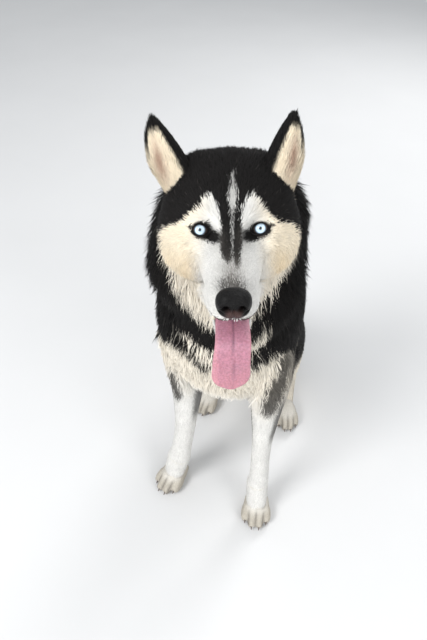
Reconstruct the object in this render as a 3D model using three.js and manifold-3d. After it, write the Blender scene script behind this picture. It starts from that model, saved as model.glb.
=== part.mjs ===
// A sitting Siberian husky, life size, looking up with its tongue out.
// Millimetres. +X is the dog's left, -Y is the way its body faces, +Z is up.
import * as THREE from "three";
import { mergeVertices } from "three/addons/utils/BufferGeometryUtils.js";
import Module from "manifold-3d";

const wasm = await Module();
wasm.setup();

// Driving dimensions
const GAP = 0.3; // between neighbouring solids
const RADIANS = Math.PI / 180;
const EYES_AT = [32, -50, 678]; // between the two corneas
const HEAD_YAW = 20; // turned to the dog's left
const HEAD_PITCH = 15; // muzzle raised
const HEAD_ROLL = 1.5; // crown leaning to the dog's right
const EYE_SPACING = 65;
const EYEBALL = 11; // radius
const EYE_CENTRE = [-10.3, -3.8]; // forward and up of the point between the eyes
const JAW_OPEN = 20;
const JAW_HINGE = [-40, -42]; // forward and up, in the head's own frame
const FLOOR_SIZE = 3000;

// From the locks' tips down to the dense coat under them
const CORE_DEPTH = { neck: 11, torso: 9, thigh: 6, tail: 14, cheek: 3 };
const LOCK_SINK = 9; // how far a lock's root goes into its core
const LOCK_SEED = 7;

const V = (x, y, z) => new THREE.Vector3(x, y, z);
const mix = (a, b, t) => a + (b - a) * t;

// One value of a smooth curve through evenly spaced values, t from 0 to 1
function through(values, t) {
  const last = values.length - 1;
  const place = Math.min(Math.max(t, 0), 1) * last;
  const i = Math.min(Math.floor(place), last - 1);
  const f = place - i;
  const at = (k) => values[Math.min(Math.max(k, 0), last)];
  const [a, b, c, d] = [at(i - 1), at(i), at(i + 1), at(i + 2)];
  const slope = (c - a) / 2;
  const next = (d - b) / 2;
  const f2 = f * f;
  const f3 = f2 * f;
  const near = (2 * f3 - 3 * f2 + 1) * b + (f3 - 2 * f2 + f) * slope;
  return near + (3 * f2 - 2 * f3) * c + (f3 - f2) * next;
}

// A closed body of oval rings along a smooth line
class Tube {
  // Each ring has its middle, the unit vectors side and rise, its half width, and its reach up and down.
  // Its square is 2 for an oval and more for a squarer ring.
  constructor(rings, dome = [0, 0]) {
    this.rings = rings;
    this.dome = dome;
  }

  ring(t) {
    const vector = (name) =>
      V(
        through(this.rings.map((r) => r[name].x), t),
        through(this.rings.map((r) => r[name].y), t),
        through(this.rings.map((r) => r[name].z), t),
      );
    const number = (name) => through(this.rings.map((r) => r[name]), t);
    return {
      at: vector("at"),
      side: vector("side").normalize(),
      rise: vector("rise").normalize(),
      half: number("half"),
      up: number("up"),
      down: number("down"),
      square: number("square"),
    };
  }

  // Angle 0 points along side, 90 degrees along rise.
  point(t, angle, grow = 0) {
    const r = this.ring(t);
    const power = 2 / r.square;
    const c = Math.cos(angle);
    const s = Math.sin(angle);
    const across = Math.sign(c) * Math.abs(c) ** power * Math.max(r.half + grow, 0.5);
    const height = Math.sign(s) * Math.abs(s) ** power * Math.max((s > 0 ? r.up : r.down) + grow, 0.5);
    return r.at.clone().addScaledVector(r.side, across).addScaledVector(r.rise, height);
  }

  // As point, but going straight on past either end
  beyond(t, angle, grow) {
    const end = Math.min(Math.max(t, 0), 1);
    const inner = t < 0 ? 0.08 : 0.92;
    const at = this.point(end, angle, grow);
    if (end === t) return at;
    const onward = at.clone().sub(this.point(inner, angle, grow)).divideScalar(Math.abs(end - inner));
    return at.addScaledVector(onward, Math.abs(t - end));
  }

  length() {
    return this.rings.slice(1).reduce((sum, r, i) => sum + r.at.distanceTo(this.rings[i].at), 0);
  }

  normal(t, angle) {
    const step = 0.01;
    const along = this.point(Math.min(t + step, 1), angle).sub(this.point(Math.max(t - step, 0), angle));
    const round = this.point(t, angle + step).sub(this.point(t, angle - step));
    const n = along.cross(round).normalize();
    return n.dot(this.point(t, angle).sub(this.ring(t).at)) < 0 ? n.negate() : n;
  }

  geometry(steps, sides, grow = 0, from = 0, to = 1) {
    const points = [];
    const first = this.ring(from).at;
    const last = this.ring(to).at;
    const inward = this.ring(mix(from, to, 0.02)).at.sub(first).normalize();
    const outward = last.clone().sub(this.ring(mix(to, from, 0.02)).at).normalize();
    for (let i = 0; i <= steps; i++) {
      const t = mix(from, to, i / steps);
      const shift = V(0, 0, 0);
      if (i === 0) shift.addScaledVector(inward, -grow);
      if (i === steps) shift.addScaledVector(outward, grow);
      for (let k = 0; k < sides; k++) points.push(this.point(t, (k / sides) * 2 * Math.PI, grow).add(shift));
    }
    const low = first.clone().addScaledVector(inward, -this.dome[0] - grow);
    const high = last.clone().addScaledVector(outward, this.dome[1] + grow);
    return ringsToGeometry(points, sides, low, high);
  }

  solid(steps, sides, grow = 0, from = 0, to = 1) {
    return solidOf(this.geometry(steps, sides, grow, from, to));
  }
}

// Rings of points joined by faces, each end closed by a point
function ringsToGeometry(points, sides, low, high) {
  const rings = points.length / sides;
  const all = [...points, low, high];
  const faces = [];
  for (let i = 0; i < rings - 1; i++)
    for (let k = 0; k < sides; k++) {
      const a = i * sides + k;
      const b = i * sides + ((k + 1) % sides);
      faces.push(a, b, b + sides, a, b + sides, a + sides);
    }
  for (let k = 0; k < sides; k++) {
    const next = (k + 1) % sides;
    faces.push(points.length, next, k);
    faces.push(points.length + 1, (rings - 1) * sides + k, (rings - 1) * sides + next);
  }
  const g = new THREE.BufferGeometry().setFromPoints(all);
  g.setIndex(faces);
  return g;
}

// A geometry as a manifold-3d solid, turned right side out
function solidOf(geometry) {
  const bare = geometry.clone();
  for (const name of ["normal", "uv"]) bare.deleteAttribute(name);
  const merged = mergeVertices(bare, 1e-4);
  const triVerts = new Uint32Array(merged.index.array);
  const make = () =>
    new wasm.Manifold(
      new wasm.Mesh({ numProp: 3, vertProperties: new Float32Array(merged.attributes.position.array), triVerts }),
    );
  const made = make();
  if (made.volume() > 0) return made;
  for (let i = 0; i < triVerts.length; i += 3) [triVerts[i + 1], triVerts[i + 2]] = [triVerts[i + 2], triVerts[i + 1]];
  return make();
}

const joined = (solids) => solids.reduce((a, b) => a.add(b));
const without = (solid, ...cutters) => cutters.reduce((a, b) => a.subtract(b), solid);

// Only the largest closed surface of a solid
function largest(solid) {
  const pieces = solid.decompose();
  return pieces.reduce((a, b) => (b.volume() > a.volume() ? b : a));
}

// A ring between a point on the back of a body and one on its front
function ringBetween(back, front, half, side = V(1, 0, 0), middle = 0.5, square = 2.2) {
  const upper = V(...back);
  const lower = V(...front);
  const span = upper.distanceTo(lower);
  return {
    at: lower.clone().lerp(upper, middle),
    side,
    rise: upper.clone().sub(lower).normalize(),
    half,
    up: span * (1 - middle),
    down: span * middle,
    square,
  };
}

// Rings square to a path: each stop is [x, y, z, half width, half depth]
function limb(stops, side = V(1, 0, 0), square = 2.1) {
  const places = stops.map(([x, y, z]) => V(x, y, z));
  return stops.map(([, , , half, depth], i) => {
    const ahead = places[Math.min(i + 1, places.length - 1)];
    const behind = places[Math.max(i - 1, 0)];
    const along = ahead.clone().sub(behind).normalize();
    const across = side.clone().addScaledVector(along, -side.dot(along)).normalize();
    const rise = along.clone().cross(across).normalize();
    return { at: places[i], side: across, rise, half, up: depth, down: depth, square };
  });
}

// The head's own frame: forward along the muzzle, up through the crown, left out of its left eye
const turn = new THREE.Matrix4()
  .makeRotationZ(HEAD_YAW * RADIANS)
  .multiply(new THREE.Matrix4().makeRotationX(-HEAD_PITCH * RADIANS))
  .multiply(new THREE.Matrix4().makeRotationY(-HEAD_ROLL * RADIANS));
const headLeft = V(1, 0, 0).transformDirection(turn);
const headForward = V(0, -1, 0).transformDirection(turn);
const headUp = V(0, 0, 1).transformDirection(turn);

function inHead(left, forward, up) {
  return V(...EYES_AT)
    .addScaledVector(headLeft, left)
    .addScaledVector(headForward, forward)
    .addScaledVector(headUp, up);
}

// A ring across the head: how far forward, its top and bottom, its half width and where it is widest
function headRing(forward, top, bottom, half, middle = 0.5, square = 2.3) {
  const at = inHead(0, forward, mix(bottom, top, middle));
  return {
    at,
    side: headLeft,
    rise: headUp,
    half,
    up: (top - bottom) * (1 - middle),
    down: (top - bottom) * middle,
    square,
  };
}

const skull = new Tube(
  [
    headRing(-128, 30, -58, 52),
    headRing(-108, 55, -84, 70, 0.5),
    headRing(-84, 66, -92, 81, 0.42),
    headRing(-60, 68, -90, 84, 0.4),
    headRing(-36, 62, -84, 78, 0.42),
    headRing(-14, 46, -74, 62, 0.5),
    headRing(6, 20, -62, 42, 0.5),
    headRing(28, 0, -60, 33, 0.45, 2.6),
    headRing(50, -8, -60, 29, 0.45, 2.7),
    headRing(72, -15, -60, 27, 0.45, 2.7),
    headRing(90, -22, -59, 24, 0.45, 2.6),
    headRing(100, -30, -56, 17, 0.5, 2.2),
  ],
  [6, 2],
);

// The lower jaw swings down about its hinge.
function inJaw(left, forward, up) {
  const [hingeForward, hingeUp] = JAW_HINGE;
  const f = forward - hingeForward;
  const u = up - hingeUp;
  const c = Math.cos(JAW_OPEN * RADIANS);
  const s = Math.sin(JAW_OPEN * RADIANS);
  return inHead(left, hingeForward + f * c + u * s, hingeUp - f * s + u * c);
}

const jawUp = inJaw(0, 0, 1).sub(inJaw(0, 0, 0));

function jawRing(forward, top, bottom, half) {
  return {
    at: inJaw(0, forward, (top + bottom) / 2),
    side: headLeft,
    rise: jawUp,
    half,
    up: (top - bottom) / 2,
    down: (top - bottom) / 2,
    square: 2.5,
  };
}

const jaw = new Tube(
  [
    jawRing(-34, -50, -86, 34),
    jawRing(-8, -58, -90, 32),
    jawRing(20, -63, -88, 26),
    jawRing(45, -64, -85, 22),
    jawRing(66, -64, -82, 19),
    jawRing(80, -65, -78, 13),
  ],
  [3, 3],
);

// The tongue lies on the lower jaw, turns over its front teeth and hangs.
const tongueRoot = inJaw(0, 10, -60);
const tongueMiddle = inJaw(0, 50, -58);
const tongueLip = inJaw(0, 82, -59);
function tongueRing(at, along, half, thick) {
  const rise = headLeft.clone().cross(along).normalize();
  return { at, side: headLeft, rise, half, up: thick / 2, down: thick / 2, square: 2.4 };
}
const forwardAndDown = headForward.clone().add(V(0, 0, -1)).normalize();
const hang = V(0.02, -0.1, -1).normalize();
const below = (distance) => tongueLip.clone().add(V(2, -9, -10)).addScaledVector(hang, distance);
const tongue = new Tube(
  [
    tongueRing(tongueRoot, headForward, 16, 9),
    tongueRing(tongueMiddle, headForward, 18, 8),
    tongueRing(tongueLip, forwardAndDown, 19, 7.5),
    tongueRing(below(6), hang, 20, 7),
    tongueRing(below(20), hang, 21, 7),
    tongueRing(below(36), hang, 21.5, 6.5),
    tongueRing(below(47), hang, 17.5, 6),
    tongueRing(below(54), hang, 9.5, 4.5),
  ],
  [1, 2],
);

const neckTube = new Tube(
  [
    ringBetween([0, 158, 535], [0, -50, 462], 106),
    ringBetween([-3, 142, 590], [3, -48, 510], 107),
    ringBetween([-7, 122, 640], [8, -40, 556], 106, headLeft),
    ringBetween([-11, 98, 680], [16, -22, 590], 97, headLeft),
    ringBetween([-10, 72, 700], [20, -2, 618], 80, headLeft),
  ],
  [4, 4],
);

const torsoTube = new Tube(
  [
    ringBetween([0, 140, 585], [0, -40, 500], 98),
    ringBetween([0, 165, 540], [0, -54, 446], 112),
    ringBetween([0, 190, 485], [0, -44, 384], 116),
    ringBetween([0, 232, 415], [0, -14, 322], 112),
    ringBetween([0, 284, 335], [0, 36, 268], 104),
    ringBetween([0, 332, 255], [0, 105, 208], 103),
    ringBetween([0, 374, 178], [0, 185, 150], 106),
    ringBetween([0, 404, 108], [0, 262, 82], 100),
    ringBetween([0, 408, 50], [0, 318, 6], 78),
  ],
  [4, 6],
);

const sides = { right: -1, left: 1 };

const frontLegTubes = {
  right: new Tube(
    limb([
      [-70, 45, 430, 34, 62],
      [-68, 42, 350, 34, 50],
      [-60, 24, 290, 29, 38],
      [-59, 8, 225, 23, 26],
      [-63, 2, 170, 21, 22],
      [-70, -2, 115, 22, 21],
      [-76, -1, 85, 25, 24],
      [-82, -6, 55, 24, 21],
      [-86, -12, 32, 22, 18],
    ]),
    [4, 3],
  ),
  left: new Tube(
    limb([
      [70, 45, 430, 34, 62],
      [76, 42, 350, 34, 50],
      [80, 24, 290, 28, 38],
      [82, 8, 225, 21, 26],
      [83, 3, 170, 19.5, 22],
      [85, -2, 115, 20.5, 21],
      [84, -3, 85, 23, 24],
      [87, -12, 55, 23, 21],
      [89, -20, 32, 22, 18],
    ]),
    [4, 3],
  ),
};

// Each paw: the middle of its sole, how far it turns out, its half width and its length
const PAWS = {
  front: {
    right: { at: [-90, -14], out: 14, half: 29, long: 82 },
    left: { at: [91, -22], out: 14, half: 29, long: 82 },
  },
  hind: {
    right: { at: [-89, 186], out: 8, half: 26, long: 78 },
    left: { at: [92, 210], out: 20, half: 26, long: 78 },
  },
};
const TOES = [-0.66, -0.23, 0.23, 0.66]; // across the paw, in half widths
const TOE_REACH = [0.36, 0.5, 0.5, 0.36]; // of the paw's length, ahead of its middle

// A point on a paw: across to the dog's left, ahead and up
function onPaw(paw, side, across, ahead, up) {
  const angle = paw.out * RADIANS * sides[side];
  const [x, y] = paw.at;
  return [
    x + across * Math.cos(angle) + ahead * Math.sin(angle),
    y + across * Math.sin(angle) - ahead * Math.cos(angle),
    up,
  ];
}

function pawTubes(paw, side) {
  const { half, long } = paw;
  const stop = (across, ahead, up, ...radii) => [...onPaw(paw, side, across, ahead, up), ...radii];
  const angle = paw.out * RADIANS * sides[side];
  const across = V(Math.cos(angle), Math.sin(angle), 0);
  const instep = new Tube(
    limb(
      [
        stop(0, -0.42 * long, 20, 0.66 * half, 17),
        stop(0, -0.18 * long, 20, 0.86 * half, 22),
        stop(0, 0.06 * long, 17, 0.9 * half, 20),
        stop(0, 0.24 * long, 13, 0.8 * half, 14),
      ],
      across,
    ),
    [4, 3],
  );
  const toes = TOES.map((place, i) => {
    const reach = TOE_REACH[i] * long;
    const r = 0.33 * half;
    return new Tube(
      limb(
        [
          stop(place * half * 0.8, reach - 40, 17, r * 0.8, 12),
          stop(place * half, reach - 26, 16, r, 15),
          stop(place * half * 1.06, reach - 12, 13, r * 1.02, 14),
          stop(place * half * 1.06, reach - 4, 11, r * 0.8, 9.5),
        ],
        across,
      ),
      [2, 2],
    );
  });
  return [instep, ...toes];
}

function clawTubes(paw, side) {
  const angle = paw.out * RADIANS * sides[side];
  const across = V(Math.cos(angle), Math.sin(angle), 0);
  return TOES.map((place, i) => {
    const reach = TOE_REACH[i] * paw.long;
    const stop = (ahead, up, ...radii) => [
      ...onPaw(paw, side, place * paw.half * 1.06, reach + ahead, up),
      ...radii,
    ];
    return new Tube(
      limb([stop(-11, 12, 2.1, 2.8), stop(-5, 11.5, 2, 2.6), stop(-1, 9, 1.7, 2.1), stop(2.5, 5, 0.8, 0.9)], across),
      [0.5, 0.5],
    );
  });
}

const thighTubes = {};
const hindLegTubes = {};
for (const [side, s] of Object.entries(sides)) {
  const paw = PAWS.hind[side];
  thighTubes[side] = new Tube(
    [
      ringBetween([s * 54, 400, 84], [s * 54, 330, 0], 36, V(1, 0, 0), 0.5, 2.2),
      ringBetween([s * 60, 388, 168], [s * 62, 276, 16], 48, V(1, 0, 0), 0.5, 2.2),
      ringBetween([s * 62, 338, 232], [s * 65, 222, 84], 46, V(1, 0, 0), 0.5, 2.2),
      ringBetween([s * 67, 288, 264], [s * 69, 190, 152], 37, V(1, 0, 0), 0.5, 2.2),
      ringBetween([s * 72, 242, 274], [s * 74, 176, 200], 25, V(1, 0, 0), 0.5, 2.2),
    ],
    [4, 5],
  );
  const [heelX, heelY] = onPaw(paw, side, 0, -0.3 * paw.long, 0);
  hindLegTubes[side] = new Tube(
    limb([
      [s * 74, 206, 220, 25, 34],
      [s * 75, 236, 168, 26, 36],
      [s * 74, 280, 108, 24, 32],
      [s * 70, 325, 56, 19, 24],
      [s * 70, 326, 24, 19, 24],
      [mix(s * 72, heelX, 0.5), mix(312, heelY, 0.5), 20, 19, 21],
      [heelX, heelY, 20, 20, 19],
    ]),
    [4, 3],
  );
}

// The tail lies on the floor behind the rump and curls to the dog's right.
const tailTube = new Tube(
  limb(
    [
      [0, 370, 56, 30, 30],
      [-4, 418, 46, 38, 38],
      [-16, 466, 44, 45, 45],
      [-42, 512, 44, 49, 47],
      [-82, 548, 42, 49, 45],
      [-128, 566, 38, 45, 41],
      [-172, 562, 30, 36, 33],
      [-206, 546, 20, 20, 20],
    ],
    V(1, 0, 0),
  ),
  [4, 4],
);
const TAIL_SPLITS = [0, 0.36, 0.66, 1];

// Each ear: its base and tip in the head's frame, its half width and the way it opens, out from straight ahead
const EARS = {
  right: { base: [-62, -56, 34], tip: [-80, -62, 104], half: 28, open: 20 },
  left: { base: [58, -56, 36], tip: [70, -62, 104], half: 26, open: 26 },
};

function earTube(ear, depth, shrink, forwardBy) {
  const angle = ear.open * RADIANS * Math.sign(ear.base[0]);
  const side = headLeft.clone().multiplyScalar(Math.cos(angle)).addScaledVector(headForward, -Math.sin(angle));
  const face = headForward.clone().multiplyScalar(Math.cos(angle)).addScaledVector(headLeft, Math.sin(angle));
  const profile = [
    [-0.34, 0.8],
    [0.0, 0.98],
    [0.28, 1.0],
    [0.55, 0.8],
    [0.8, 0.46],
    [1.0, 0.1],
  ];
  return new Tube(
    profile.map(([place, width]) => {
      const at = inHead(...ear.base.map((value, i) => mix(value, ear.tip[i], place)));
      return {
        at: at.addScaledVector(face, forwardBy),
        side,
        rise: face,
        half: Math.max(ear.half * width - shrink, 1.5),
        up: Math.max(depth * (0.4 + 0.6 * width) - shrink, 1.5),
        down: Math.max(depth * (0.4 + 0.6 * width) - shrink, 1.5),
        square: 2,
      };
    }),
    [2, 1],
  );
}

// An oval body round a point, with its own three half sizes
function oval(at, axes, halves, grow = 0) {
  const ball = new THREE.SphereGeometry(1, 12, 8);
  const matrix = new THREE.Matrix4().makeBasis(
    ...axes.map((axis, i) => axis.clone().multiplyScalar(halves[i] + grow)),
  );
  return solidOf(ball.applyMatrix4(matrix.setPosition(at)));
}

const headAxes = [headLeft, headForward, headUp];
const floor = solidOf(
  new THREE.BoxGeometry(FLOOR_SIZE, FLOOR_SIZE, FLOOR_SIZE).translate(0, 0, -FLOOR_SIZE / 2),
);
const eyeAt = (s) => inHead((s * EYE_SPACING) / 2, ...EYE_CENTRE);
const hollow = (s) => oval(inHead((s * EYE_SPACING) / 2, 12, 2), headAxes, [19, 11, 14]);
const eyeBody = (s, grow = 0) => oval(eyeAt(s), headAxes, [EYEBALL, EYEBALL, EYEBALL], grow);
const noseBody = (grow = 0) => oval(inHead(0, 99, -38), headAxes, [17, 12, 14], grow);
const nostril = (s) => oval(inHead(s * 8, 111, -39), headAxes, [3.6, 6, 3.2]);
const skullBody = (grow = 0) => skull.solid(18, 20, grow);
const jawBody = (grow = 0) => jaw.solid(8, 12, grow);
const neckBody = (grow = 0) => neckTube.solid(7, 20, grow);
const torsoBody = (grow = 0) => torsoTube.solid(12, 20, grow);
const pawBody = (paw, side, grow = 0) => joined(pawTubes(paw, side).map((tube) => tube.solid(2, 7, grow)));
const frontLegBody = (side, grow = 0) => frontLegTubes[side].solid(10, 11, grow);
const thighBody = (side, grow = 0) => thighTubes[side].solid(10, 16, grow);
const hindLegBody = (side, grow = 0) => hindLegTubes[side].solid(10, 10, grow);

// The lids bulge over the eyeball and part in an almond.
function lids(s) {
  return oval(eyeAt(s), headAxes, [EYEBALL + 4.5, EYEBALL + 1.6, EYEBALL + 3]);
}

// The upper lips: a rounded edge from under the nose back to each corner of the mouth
const LIP_LINE = [
  [0, 97, -55, 4, 4],
  [13, 91, -57, 4.5, 5],
  [22, 72, -59, 5, 6],
  [26, 50, -60, 5, 6],
  [29, 28, -62, 5, 6],
  [32, 8, -66, 4, 4],
];

function lipBody(grow = 0) {
  return joined(
    Object.values(sides).map((s) => {
      const stops = LIP_LINE.map(([left, forward, up, ...radii]) => [
        ...inHead(s * left, forward, up).toArray(),
        ...radii,
      ]);
      return new Tube(limb(stops, headLeft), [2, 2]).solid(6, 5, grow);
    }),
  );
}

function almond(s) {
  return oval(inHead((s * EYE_SPACING) / 2, 2, 0), headAxes, [10, 16, 6.2]);
}

// Repeatable draws between -1 and 1
let seed = LOCK_SEED;
function draw() {
  seed = (seed * 16807) % 2147483647;
  return (seed / 2147483647) * 2 - 1;
}

// A flat, tapered lock: it leaves the core at its root, bends with the body and ends at the coat's outline.
function lock(tube, t, angle, shape, way) {
  const { long, wide, thick, depth } = shape;
  const reach = (way.ahead * long * (1 + 0.14 * draw())) / tube.length();
  const drift = way.round * Math.sign(Math.cos(angle)) * Math.abs(Math.cos(angle)) + 0.06 * draw();
  const width = wide * (1 + 0.12 * draw());
  const over = 1 + 1.5 * draw();
  const profile = [
    [0, -depth - LOCK_SINK, 0.8],
    [0.5, -0.3 * depth, 1],
    [1, over, 0.16],
  ];
  const spine = profile.map(([s, height]) => tube.beyond(t + reach * s, angle + drift * s, height));
  const normal = tube.normal(Math.min(Math.max(t + reach / 2, 0.02), 0.98), angle + drift / 2);
  const across = normal.clone().cross(spine[2].clone().sub(spine[0])).normalize();
  return new Tube(
    profile.map(([, , taper], i) => ({
      at: spine[i],
      side: across,
      rise: normal,
      half: (width / 2) * taper,
      up: (thick / 2) * taper,
      down: (thick / 2) * taper,
      square: 2,
    })),
    [0, 2],
  );
}

// Rows of locks over a tube: each row's place along it and the angles between which its locks stand, in degrees
function lockRows(tube, rows, shape, way) {
  return rows.flatMap(([t, from, to, count], row) =>
    Array.from({ length: count }, (_, i) => {
      const share = (i + (row % 2) * 0.4) / (count - 0.6);
      return lock(tube, t + 0.012 * draw(), mix(from, to, share) * RADIANS, shape, way);
    }),
  );
}

const withLocks = (core, locks, grow = 0) => joined([core, ...locks.map((tube) => tube.solid(2, 4, grow))]);

const ruffLocks = lockRows(
  neckTube,
  [
    [0.78, 30, 150, 3],
    [0.54, -15, 195, 6],
    [0.32, -75, 255, 9],
    [0.1, -80, 260, 9],
  ],
  { long: 84, wide: 50, thick: 14, depth: CORE_DEPTH.neck },
  { ahead: -1, round: -0.15 },
);
const cheekLocks = lockRows(
  skull,
  [
    [0.4, -42, -16, 2],
    [0.4, 196, 222, 2],
    [0.26, -46, -8, 2],
    [0.26, 188, 226, 2],
  ],
  { long: 46, wide: 30, thick: 9, depth: CORE_DEPTH.cheek },
  { ahead: -1, round: -0.3 },
);
const bodyLocks = lockRows(
  torsoTube,
  [
    [0.24, -125, -55, 4],
    [0.4, -125, -55, 4],
    [0.3, 10, 170, 4],
    [0.5, 10, 170, 4],
    [0.72, 25, 155, 4],
  ],
  { long: 96, wide: 56, thick: 13, depth: CORE_DEPTH.torso },
  { ahead: 1, round: -0.12 },
);
const breechLocks = (side) =>
  lockRows(
    thighTubes[side],
    [
      [0.3, side === "left" ? 0 : 110, side === "left" ? 70 : 180, 3],
      [0.55, side === "left" ? 0 : 110, side === "left" ? 70 : 180, 3],
    ],
    { long: 58, wide: 36, thick: 9, depth: CORE_DEPTH.thigh },
    { ahead: -1, round: -0.2 },
  );
const brushLocks = (from, to) =>
  lockRows(
    tailTube,
    [
      [mix(from, to, 0.1), -10, 190, 3],
      [mix(from, to, 0.5), -10, 190, 3],
    ],
    { long: 66, wide: 36, thick: 11, depth: CORE_DEPTH.tail },
    { ahead: 1, round: 0 },
  );

const COLOURS = {
  black: [0x1b1817, 0.9],
  white: [0xe9e2d6, 0.9],
  nose: [0x17120f, 0.45],
  eye: [0xbfd8e6, 0.1],
  tongue: [0xc98a93, 0.4],
  claw: [0x2b221e, 0.5],
};
const group = new THREE.Group();

// Adds a solid to the model as a named mesh
function add(name, solid, colour) {
  const kept = largest(without(solid, floor));
  const mesh = kept.getMesh();
  const geometry = new THREE.BufferGeometry();
  geometry.setAttribute("position", new THREE.Float32BufferAttribute(mesh.vertProperties, 3));
  geometry.setIndex(new THREE.BufferAttribute(mesh.triVerts, 1));
  const [hex, roughness] = COLOURS[colour];
  const node = new THREE.Mesh(geometry, new THREE.MeshStandardMaterial({ color: hex, roughness, metalness: 0 }));
  node.name = name;
  group.add(node);
}

add("nose", without(noseBody(), nostril(-1), nostril(1)), "nose");
const headBody = (grow = 0) => withLocks(skullBody(grow).add(lipBody(grow)), cheekLocks, grow);
let head = headBody();
for (const s of Object.values(sides)) head = without(without(head, hollow(s)).add(lids(s)), almond(s), eyeBody(s, GAP));
add("head", without(head, noseBody(GAP)), "black");
const headCut = headBody(GAP);
add("lower_jaw", without(jawBody(), headCut), "white");
add("tongue", without(tongue.solid(12, 12), headCut, jawBody(GAP), noseBody(GAP)), "tongue");
const ruff = (grow = 0) => withLocks(neckBody(grow - CORE_DEPTH.neck), ruffLocks, grow);
add("neck", without(ruff(), headCut, jawBody(GAP)), "black");
const neckCut = ruff(GAP);
const trunk = (grow = 0) => withLocks(torsoBody(grow - CORE_DEPTH.torso), bodyLocks, grow);
add("torso", without(trunk(), neckCut, headCut, tongue.solid(12, 12, GAP)), "black");
const torsoCut = trunk(GAP);
for (const [side, s] of Object.entries(sides)) {
  add(`eye_${side}`, eyeBody(s), "eye");
  const ear = EARS[side];
  const shell = earTube(ear, 15, 0, 0).solid(8, 12);
  const cup = earTube(ear, 15, 3.5, 9).solid(6, 12, 0, 0.22, 1);
  add(`ear_${side}`, without(shell, cup, headCut, neckCut), "black");
  add(`front_leg_${side}`, without(frontLegBody(side), torsoCut, neckCut), "white");
  add(`front_paw_${side}`, without(pawBody(PAWS.front[side], side), frontLegBody(side, GAP)), "white");
  const breech = breechLocks(side);
  const thigh = (grow = 0) => withLocks(thighBody(side, grow - CORE_DEPTH.thigh), breech, grow);
  add(`thigh_${side}`, without(thigh(), torsoCut), "black");
  add(`hind_leg_${side}`, without(hindLegBody(side), thigh(GAP), torsoCut), "white");
  add(`hind_paw_${side}`, without(pawBody(PAWS.hind[side], side), hindLegBody(side, GAP)), "white");
  for (const [pair, paws] of Object.entries(PAWS)) {
    const cut = pawBody(paws[side], side, GAP);
    clawTubes(paws[side], side).forEach((tube, i) => {
      add(`${pair}_claw_${side}_${i + 1}`, without(tube.solid(2, 5), cut), "claw");
    });
  }
}
let before = torsoCut;
["tail_base", "tail_middle", "tail_tip"].forEach((name, i) => {
  const [from, to] = [TAIL_SPLITS[i], TAIL_SPLITS[i + 1]];
  const brush = brushLocks(from, to);
  const length = (grow = 0) => withLocks(tailTube.solid(5, 16, grow - CORE_DEPTH.tail, from, to), brush, grow);
  add(name, without(length(), before), "black");
  before = length(GAP);
});

const box = new THREE.Box3().setFromObject(group);
group.position.set(-(box.min.x + box.max.x) / 2, -(box.min.y + box.max.y) / 2, -box.min.z);

export default group;
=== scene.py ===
import math

import bpy
import numpy as np
from mathutils import Matrix, Vector


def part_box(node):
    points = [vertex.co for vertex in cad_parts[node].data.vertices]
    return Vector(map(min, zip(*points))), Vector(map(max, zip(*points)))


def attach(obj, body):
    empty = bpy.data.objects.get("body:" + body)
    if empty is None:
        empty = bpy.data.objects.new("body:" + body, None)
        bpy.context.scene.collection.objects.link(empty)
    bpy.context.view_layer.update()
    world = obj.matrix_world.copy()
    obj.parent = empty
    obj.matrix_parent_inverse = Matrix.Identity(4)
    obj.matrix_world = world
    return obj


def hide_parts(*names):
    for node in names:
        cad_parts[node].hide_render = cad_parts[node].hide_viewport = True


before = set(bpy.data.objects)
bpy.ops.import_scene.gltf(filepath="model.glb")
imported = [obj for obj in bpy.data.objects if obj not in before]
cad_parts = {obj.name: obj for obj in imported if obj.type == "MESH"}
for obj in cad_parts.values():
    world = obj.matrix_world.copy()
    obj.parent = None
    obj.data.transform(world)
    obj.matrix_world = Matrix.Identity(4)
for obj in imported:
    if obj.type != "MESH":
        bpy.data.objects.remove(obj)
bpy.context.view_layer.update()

# Sizes are in millimetres until a mesh is made, +X the dog's left and -Y the way its body faces.
MM = 0.001
EYES_AT = np.array([32.0, -50.0, 678.0])
HEAD_YAW, HEAD_PITCH, HEAD_ROLL = 20, 15, 1.5
EYE_SPACING = 65
EYEBALL = 11
EYE_CENTRE = (-10.3, -3.8)  # forward and up of the point between the eyes
JAW_OPEN = 20
JAW_HINGE = (-40, -42)
CAMERA_AT = np.array([176.0, -498.0, 1010.0])
CAMERA_AIM = np.array([-0.2423, 0.6656, -0.7059])
CAMERA_RIGHT = np.array([0.9397, 0.3420, 0.0])
LENS = 30
SENSOR = 36
PICTURE = (427, 640)
HEAD_VOXEL = 1.9
BODY_VOXEL = 4.5
PAW_VOXEL = 1.9
EAR_VOXEL = 1.7
CLEAR = {"skin": 0.4, "tuft": 0.3, "claw": 0.2}  # the least height over the floor
SIDES = {"right": -1, "left": 1}
rng = np.random.default_rng(7)


def unit(v):
    v = np.asarray(v, float)
    return v / np.maximum(np.linalg.norm(v, axis=-1, keepdims=True), 1e-9)


def smooth(low, high, x):
    t = np.clip((x - low) / (high - low), 0, 1)
    return t * t * (3 - 2 * t)


def turned(axis, degrees):
    return np.array(Matrix.Rotation(math.radians(degrees), 3, axis))


HEAD = turned("Z", HEAD_YAW) @ turned("X", -HEAD_PITCH) @ turned("Y", -HEAD_ROLL)
LEFT, FORWARD, UP = HEAD @ (1, 0, 0), HEAD @ (0, -1, 0), HEAD @ (0, 0, 1)
HEAD_AXES = np.array([LEFT, FORWARD, UP])


def in_head(left, forward, up):
    return EYES_AT + np.array([left, forward, up], float) @ HEAD_AXES


def to_head(points):
    return (points - EYES_AT) @ HEAD_AXES.T


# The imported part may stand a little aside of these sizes, by as much as its left eye does.
eye_low, eye_high = (np.array(corner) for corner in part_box("eye_left"))
SHIFT = (eye_low + eye_high) / 2 / MM - in_head(EYE_SPACING / 2, *EYE_CENTRE)
SHIFT[2] = 0


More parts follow.
